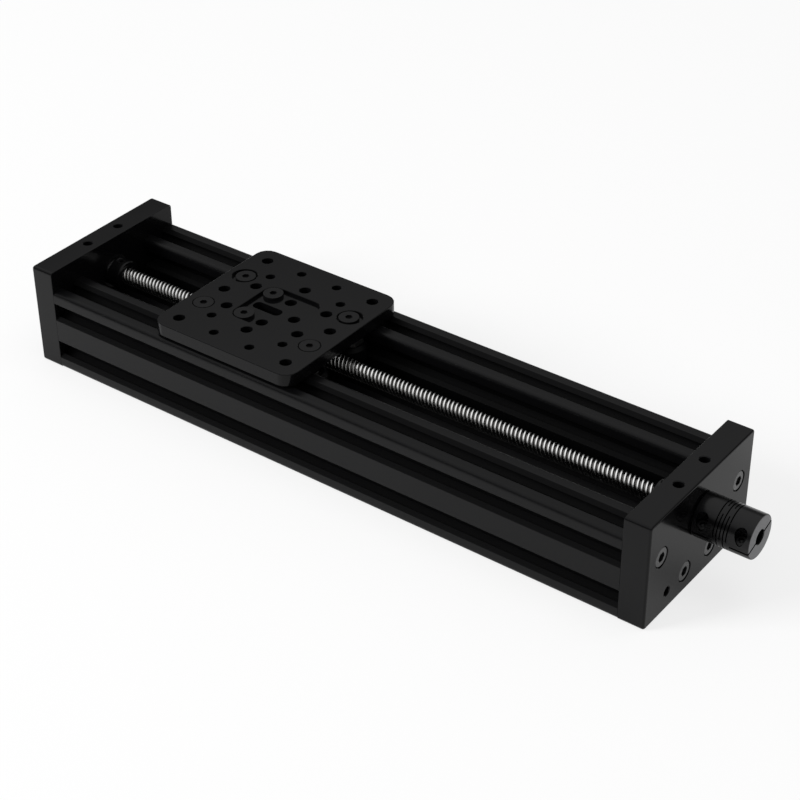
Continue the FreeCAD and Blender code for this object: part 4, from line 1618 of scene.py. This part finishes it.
@dataclass
class Carriage:
    """Carriage plate with its pocket, slot and grid of holes."""

    span: Span
    wheel_places: dict[Corner, Vector]
    bolting: Bolting
    corner_radius: float = 6.5
    rim: float = 0.5
    grid: float = 10.0
    pass_radius: float = 2.6
    tapped_radius: float = 2.1
    mouth: float = 0.2
    pocket_size: float = 30.0
    pocket_radius: float = 5.0
    pocket_depth: float = 1.5
    slot_half: float = 2.6
    slot_roundness: float = 0.999
    slot_steps: int = 12
    wheel_base: float = 60.0
    boss_radius: float = 3.6
    eccentric_counterbore: float = 5.8

    @property
    def pocket_floor(self) -> float:
        """Height of the pocket's floor, which is also the seat of every bolt head."""
        return self.span.high.z - self.pocket_depth

    def grid_point(self, column: float, row: float) -> Matrix:
        """Placing of a hole on the plate's grid."""
        return Axis.UP.at(self.span.centre.x + column * self.grid, row * self.grid, 0)

    def wheel_hole_x(self, corner: Corner) -> float:
        """X of the wheel hole at one corner."""
        return self.span.centre.x + corner.end * self.wheel_base / 2

    def in_pocket(self, column: int, row: int) -> bool:
        """Whether a place on the grid lies in the pocket."""
        return max(abs(column), abs(row)) * self.grid < self.pocket_size / 2

    def hole(self, column: int, row: int, radius: float) -> Stock:
        """Cutter for one hole of the grid.

        Args:
            column: its place along X, in grid steps from the middle.
            row: its place along Y, in grid steps from the middle.
            radius: its radius.

        Returns:
            The cutter.
        """
        top = self.pocket_floor if self.in_pocket(column, row) else self.span.high.z
        cutter = drilled(radius, self.span.low.z, top, self.mouth, self.mouth)
        return cutter.placed(self.grid_point(column, row))

    def grid_holes(self) -> list[Stock]:
        """Holes of the grid.

        Returns:
            A cutter for each, the passing ones first and then the tapped ones.
        """
        passing = [(3, 0), (-3, 0), (0, 2), (0, -2), (0, 1), (0, -1), (1, 0), (-1, -1), (-1, 1)]
        tapped = []
        for end in (-1, 1):
            for side in (-1, 1):
                passing += [(3 * end, 3 * side), (2 * end, side)]
                tapped += [(2 * end, 2 * side), (end, 3 * side)]
        cutters = [self.hole(column, row, self.pass_radius) for column, row in passing]
        return cutters + [self.hole(column, row, self.tapped_radius) for column, row in tapped]

    def wheel_holes(self) -> list[Stock]:
        """Stepped holes of the wheel bolts, of which the far ones take an eccentric boss.

        Returns:
            A cutter for each.
        """
        low, seat, high = self.span.low.z, self.pocket_floor, self.span.high.z
        screw = self.bolting.screw
        cutters = []
        for corner, place in self.wheel_places.items():
            hole = self.boss_radius if corner.is_far else screw.hole_radius
            wide = self.eccentric_counterbore if corner.is_far else screw.counterbore_radius
            cutter = stepped((low, hole), seat, (high, wide), self.mouth)
            cutters.append(cutter.placed(Axis.UP.at(self.wheel_hole_x(corner), place.y, 0)))
        return cutters

    def adjusting_slot(self) -> Stock:
        """Long slot in the pocket.

        Returns:
            Its cutter.
        """
        half = self.slot_half
        corners = [(-self.grid - half, -half), (half, -half), (half, half), (-self.grid - half, half)]
        outline = rounded(corners, half * self.slot_roundness, self.slot_steps)
        slot = Stock.bar(outline, self.span.low.z - OVERCUT, self.span.high.z + OVERCUT)
        return slot.placed(self.grid_point(0, 0))

    def plate(self) -> Stock:
        """The plate.

        Returns:
            The plate with its pocket and all its holes.
        """
        low, high, middle = self.span.low.z, self.span.high.z, self.span.centre
        levels = rim_levels((low, self.rim / 2), (high, self.rim))
        blank = Stock.slab(self.span.size, self.corner_radius, levels)
        pocket_levels = [
            (self.pocket_floor, 0.0),
            (high - self.mouth, 0.0),
            (high + OVERCUT, -self.mouth - OVERCUT),
        ]
        pocket_size = Vector((self.pocket_size, self.pocket_size))
        pocket = Stock.slab(pocket_size, self.pocket_radius, pocket_levels)
        body = blank.placed(Axis.UP.at(middle.x, middle.y, 0))
        body = body.cut(pocket.placed(self.grid_point(0, 0)))
        return body.cut(self.adjusting_slot(), *self.grid_holes(), *self.wheel_holes())

    def hang(
        self,
        name: str,
        places: Sequence[Matrix],
        nut_low: float,
        spacer_low: float,
        spaced: Sequence[Matrix],
    ) -> None:
        """Adds the bolts, nuts and spacers that hold something under the plate.

        Args:
            name: the first part of their names.
            places: placings of the bolts.
            nut_low: height of the nuts' lower faces.
            spacer_low: height of the spacers' lower faces; their upper faces touch the plate.
            spaced: placings of the bolts that have a plain spacer.
        """
        ride = Body.CARRIAGE.value
        bolts = self.bolting.bolt(self.span.high.z, nut_low).copies(places)
        add_piece(name + "_bolts", Stock.joined(bolts), FASTENER_FINISH, ride)
        nuts = self.bolting.nut(nut_low).copies(places)
        add_piece(name + "_nuts", Stock.joined(nuts), ZINC_FINISH, ride)
        spacers = self.bolting.spacer(spacer_low, self.span.low.z).copies(spaced)
        add_piece(name + "_spacers", Stock.joined(spacers), TURNED_FINISH, ride)

    def build(self) -> None:
        """Adds the plate."""
        add_piece("carriage_plate", self.plate(), PLATE_FINISH, Body.CARRIAGE.value)


@dataclass
class NutBlock:
    """Split nut block under the carriage plate, with its bolts, nuts, spacers and backlash screw."""

    span: Span
    carriage: Carriage
    bore_radius: float = 4.05
    bore_mouth: float = 0.4
    edge: float = 0.35
    corner_radius: float = 1.0
    slit: float = 1.2
    slit_x: float = 4.0
    hinge: float = 4.0
    backlash_edge: float = 4.5
    backlash_radius: float = 2.55
    backlash_mouth: float = 0.3
    nut_clearance: float = 0.1

    @property
    def bolt_places(self) -> list[Matrix]:
        """Placings of the two bolts."""
        return [self.carriage.grid_point(-1, row) for row in (-1, 1)]

    def block(self) -> Stock:
        """The block.

        Returns:
            The block with its bore, slit, bolt holes and nut pockets.
        """
        low, high, middle = self.span.low, self.span.high, self.span.centre
        bolting, places = self.carriage.bolting, self.bolt_places
        levels = rim_levels((low.z, self.edge), (high.z, self.edge))
        blank = Stock.slab(self.span.size, self.corner_radius, levels)

        bore = drilled(self.bore_radius, low.x, high.x, self.bore_mouth, self.bore_mouth)
        slit_low = middle.x + self.slit_x - self.slit / 2
        backlash = sunk(self.backlash_radius, slit_low - high.x, 0, self.backlash_mouth)
        backlash_place = Axis.ALONG.at(high.x, low.y + self.backlash_edge, SCREW_HEIGHT)
        flats = bolting.nut_flats + 2 * self.nut_clearance
        pocket = Stock.bar(hexagon(flats), low.z - OVERCUT, low.z + bolting.nut_height)
        slit_high = (slit_low + self.slit, high.y - self.hinge, high.z + OVERCUT)
        slit = Stock.block((slit_low, low.y - OVERCUT, low.z - OVERCUT), slit_high)
        radius = bolting.screw.hole_radius
        hole = Stock.turned([(radius, low.z + bolting.nut_height), (radius, high.z + OVERCUT)])
        cutters = [
            bore.placed(Axis.ALONG.at(0, 0, SCREW_HEIGHT)),
            backlash.placed(backlash_place),
            *pocket.copies(places),
        ]
        body = blank.placed(Axis.UP.at(middle.x, middle.y, 0)).cut(*cutters)
        return body.cut(slit).cut(*hole.copies(places))

    def build(self) -> None:
        """Adds the block and what holds it."""
        places = self.bolt_places
        add_piece("nut_block", self.block(), NUT_FINISH, Body.CARRIAGE.value)
        self.carriage.hang("nut_block", places, self.span.low.z, self.span.high.z, places)
        dress_node("backlash_screw", FASTENER_FINISH)


@dataclass
class Wheels:
    """The four V-edged wheels with their bolts, nuts and spacers."""

    places: dict[Corner, Vector]
    span: Span
    carriage: Carriage
    crown_half: float = 2.81
    seat_radius: float = 5.02
    shoulder_radius: float = 4.32
    shoulder_half: float = 0.6
    edge: float = 0.18
    stack_half: float = 4.5
    eccentric_flats: float = 10.0
    eccentric_edge: float = 0.3
    eccentric_boss: float = 3.5
    eccentric_boss_height: float = 2.5

    def wheel(self) -> Stock:
        """One wheel about the Z axis.

        Returns:
            The wheel, its middle at height 0.
        """
        radius = self.span.size.x / 2
        half = self.span.size.z / 2
        side_radius = radius - (half - self.crown_half)
        upper = [
            (self.shoulder_radius, self.shoulder_half),
            (self.seat_radius, self.shoulder_half),
            (self.seat_radius, half),
            (side_radius, half),
            (radius, self.crown_half),
        ]
        corners = upper + [(reach, -height) for reach, height in reversed(upper)]
        return Stock.turned(rounded(corners, self.edge), ring=True)

    def eccentric_spacer(self, corner: Corner) -> Stock:
        """Six-sided spacer with a boss in the plate and a bore off its centre.

        Args:
            corner: the far corner that has it.

        Returns:
            The spacer in its place.
        """
        place = self.places[corner]
        low, shoulder = place.z + self.stack_half, self.carriage.span.low.z
        boss_high = shoulder + self.eccentric_boss_height
        centre = Axis.UP.at(self.carriage.wheel_hole_x(corner), place.y, 0)
        bolt_axis = Axis.UP.at(place.x, place.y, 0)
        hole = self.carriage.bolting.screw.hole_radius
        edge, radius = self.eccentric_edge, self.eccentric_boss
        levels = [(low, edge), (low + edge, 0), (shoulder - STEP_RISE, 0)]
        body = Stock.six_sided(self.eccentric_flats, levels).placed(centre)
        bore = drilled(hole, low, shoulder).placed(bolt_axis)
        boss = Stock.turned([(radius, shoulder + STEP_RISE), (radius, boss_high)]).placed(centre)
        boss_bore = drilled(hole, shoulder, boss_high).placed(bolt_axis)
        return Stock.joined([body.cut(bore), boss.cut(boss_bore)])

    def build(self) -> None:
        """Adds the wheels and what carries them."""
        wheel, middle = self.wheel(), self.span.centre.z
        for corner, place in self.places.items():
            name = corner.node("wheel")
            add_piece(name, wheel.placed(Matrix.Translation(place)), WHEEL_FINISH, name)
            dress_node(corner.node("wheel_outer_races"), RACE_FINISH)
        for rings in ("wheel_inner_races", "wheel_shims"):
            dress_node(rings, RACE_FINISH)
        axes = {corner: Axis.UP.at(place.x, place.y, 0) for corner, place in self.places.items()}
        near = [axis for corner, axis in axes.items() if not corner.is_far]
        nut_low = middle - self.stack_half - self.carriage.bolting.nut_height
        self.carriage.hang("wheel", list(axes.values()), nut_low, middle + self.stack_half, near)
        spacers = [self.eccentric_spacer(corner) for corner in Corner if corner.is_far]
        ride = Body.CARRIAGE.value
        add_piece("eccentric_spacers", Stock.joined(spacers), ZINC_FINISH, ride)


@dataclass(frozen=True)
class Lamp:
    """Square soft lamp that faces the middle of the slide and isn't seen in its mirrored surfaces."""

    name: str
    place: Triple
    size: float
    power: float

    def build(self) -> None:
        """Hangs the lamp."""
        light = bpy.data.lights.new(self.name, "AREA")
        light.size = self.size
        light.energy = self.power
        holder = linked(self.name, light)
        holder.location = self.place
        middle = (CAD_BOX[0] + CAD_BOX[1]) / 2
        holder.rotation_mode = "QUATERNION"
        holder.rotation_quaternion = (middle - Vector(self.place)).to_track_quat("-Z", "Y")
        holder.visible_glossy = False


@dataclass
class Studio:
    """White floor and backdrop, two soft lamps and the camera; sizes are metres and angles radians."""

    floor_half: float = 8.0
    floor_drop: float = 0.0002
    ambient: float = 0.45
    mirrored_sky: tuple[Point, ...] = (
        (0.0, 1.0),
        (0.08, 0.4),
        (0.2, 0.13),
        (0.47, 0.18),
        (0.585, 0.62),
        (0.92, 1.0),
    )
    lamps: tuple[Lamp, ...] = (
        Lamp("left_softbox", place=(-1.65, -1.95, 1.4), size=1.0, power=73.0),
        Lamp("top_softbox", place=(0.5, 0.2, 1.7), size=0.9, power=5.0),
    )
    camera_place: Triple = (0.43793, -0.55990, 0.50870)
    camera_yaw: float = -0.6464
    camera_pitch: float = -0.6023
    camera_roll: float = -0.0085
    focal_pixels: float = 1993.6
    frame_pixels: float = 800.0
    sensor: float = 36.0
    clip_start: float = 0.01
    clip_end: float = 100.0

    def floor(self) -> None:
        """Adds the floor."""
        half, level = self.floor_half, CAD_BOX[0].z - self.floor_drop
        outline = [(-half, -half), (half, -half), (half, half), (-half, half)]
        mesh = bpy.data.meshes.new("floor")
        mesh.from_pydata([(x, y, level) for x, y in outline], [], [(0, 1, 2, 3)])
        mesh.materials.append(FLOOR_FINISH.material())
        floor = linked("floor", mesh)

    def backdrop(self) -> None:
        """Adds the world: white to the camera, and in mirrors dark walls from horizon to ceiling."""
        world = bpy.data.worlds.new("studio")
        world.use_nodes = True
        bpy.context.scene.world = world
        graph = ShaderGraph(world.node_tree)
        way = graph.node("ShaderNodeTexCoord", output="Generated")
        upward = graph.node("ShaderNodeSeparateXYZ", {}, {0: way}, "Z")
        seen = graph.node("ShaderNodeValToRGB", {"stops": self.mirrored_sky}, {0: upward})
        camera, mirrored = graph.ray_kinds()
        lighting = self.ambient + mirrored * (seen - self.ambient)
        strength = lighting + camera * (1 - lighting)
        shine = graph.node("ShaderNodeBackground", {}, {"Color": WHITE, "Strength": strength})
        graph.node("ShaderNodeOutputWorld", {}, {"Surface": shine})

    def camera(self) -> None:
        """Adds the camera at the photograph's place and angle."""
        yaw, pitch = self.camera_yaw, self.camera_pitch
        level = math.cos(pitch)
        ahead = Vector((level * math.sin(yaw), level * math.cos(yaw), math.sin(pitch)))
        right = Vector((math.cos(yaw), -math.sin(yaw), 0))
        up = right.cross(ahead)
        roll = Matrix.Rotation(-self.camera_roll, 3, ahead)
        turned = Matrix((roll @ right, roll @ up, -ahead)).transposed()
        lens = bpy.data.cameras.new("camera")
        lens.sensor_width = self.sensor
        lens.lens = self.sensor * self.focal_pixels / self.frame_pixels
        lens.clip_start = self.clip_start
        lens.clip_end = self.clip_end
        holder = linked("camera", lens)
        holder.matrix_world = Matrix.Translation(self.camera_place) @ turned.to_4x4()
        bpy.context.scene.camera = holder

    def build(self) -> None:
        """Adds the whole studio."""
        bpy.context.scene.view_settings.view_transform = "Standard"
        self.floor()
        self.backdrop()
        for lamp in self.lamps:
            lamp.build()
        self.camera()


def main() -> None:
    """Builds the studio, then the slide from its sub-assemblies."""
    logging.basicConfig(level=logging.INFO, format="%(message)s")
    Studio().build()
    rail = Rail(Span.of("rail"))
    rail.build()
    LeadScrew(Span.of("lead_screw"), Span.of("right_lock_collar")).build()
    EndPlates(Span.of("right_end_plate"), rail.cell).build()
    Coupling(Span.of("shaft_coupling")).build()
    places = {corner: Span.of(corner.node("wheel")).centre for corner in Corner}
    carriage = Carriage(Span.of("carriage_plate"), places, Bolting())
    carriage.build()
    NutBlock(Span.of("nut_block"), carriage).build()
    Wheels(places, Span.of("wheel_near_left"), carriage).build()


if __name__ == "__main__":
    main()
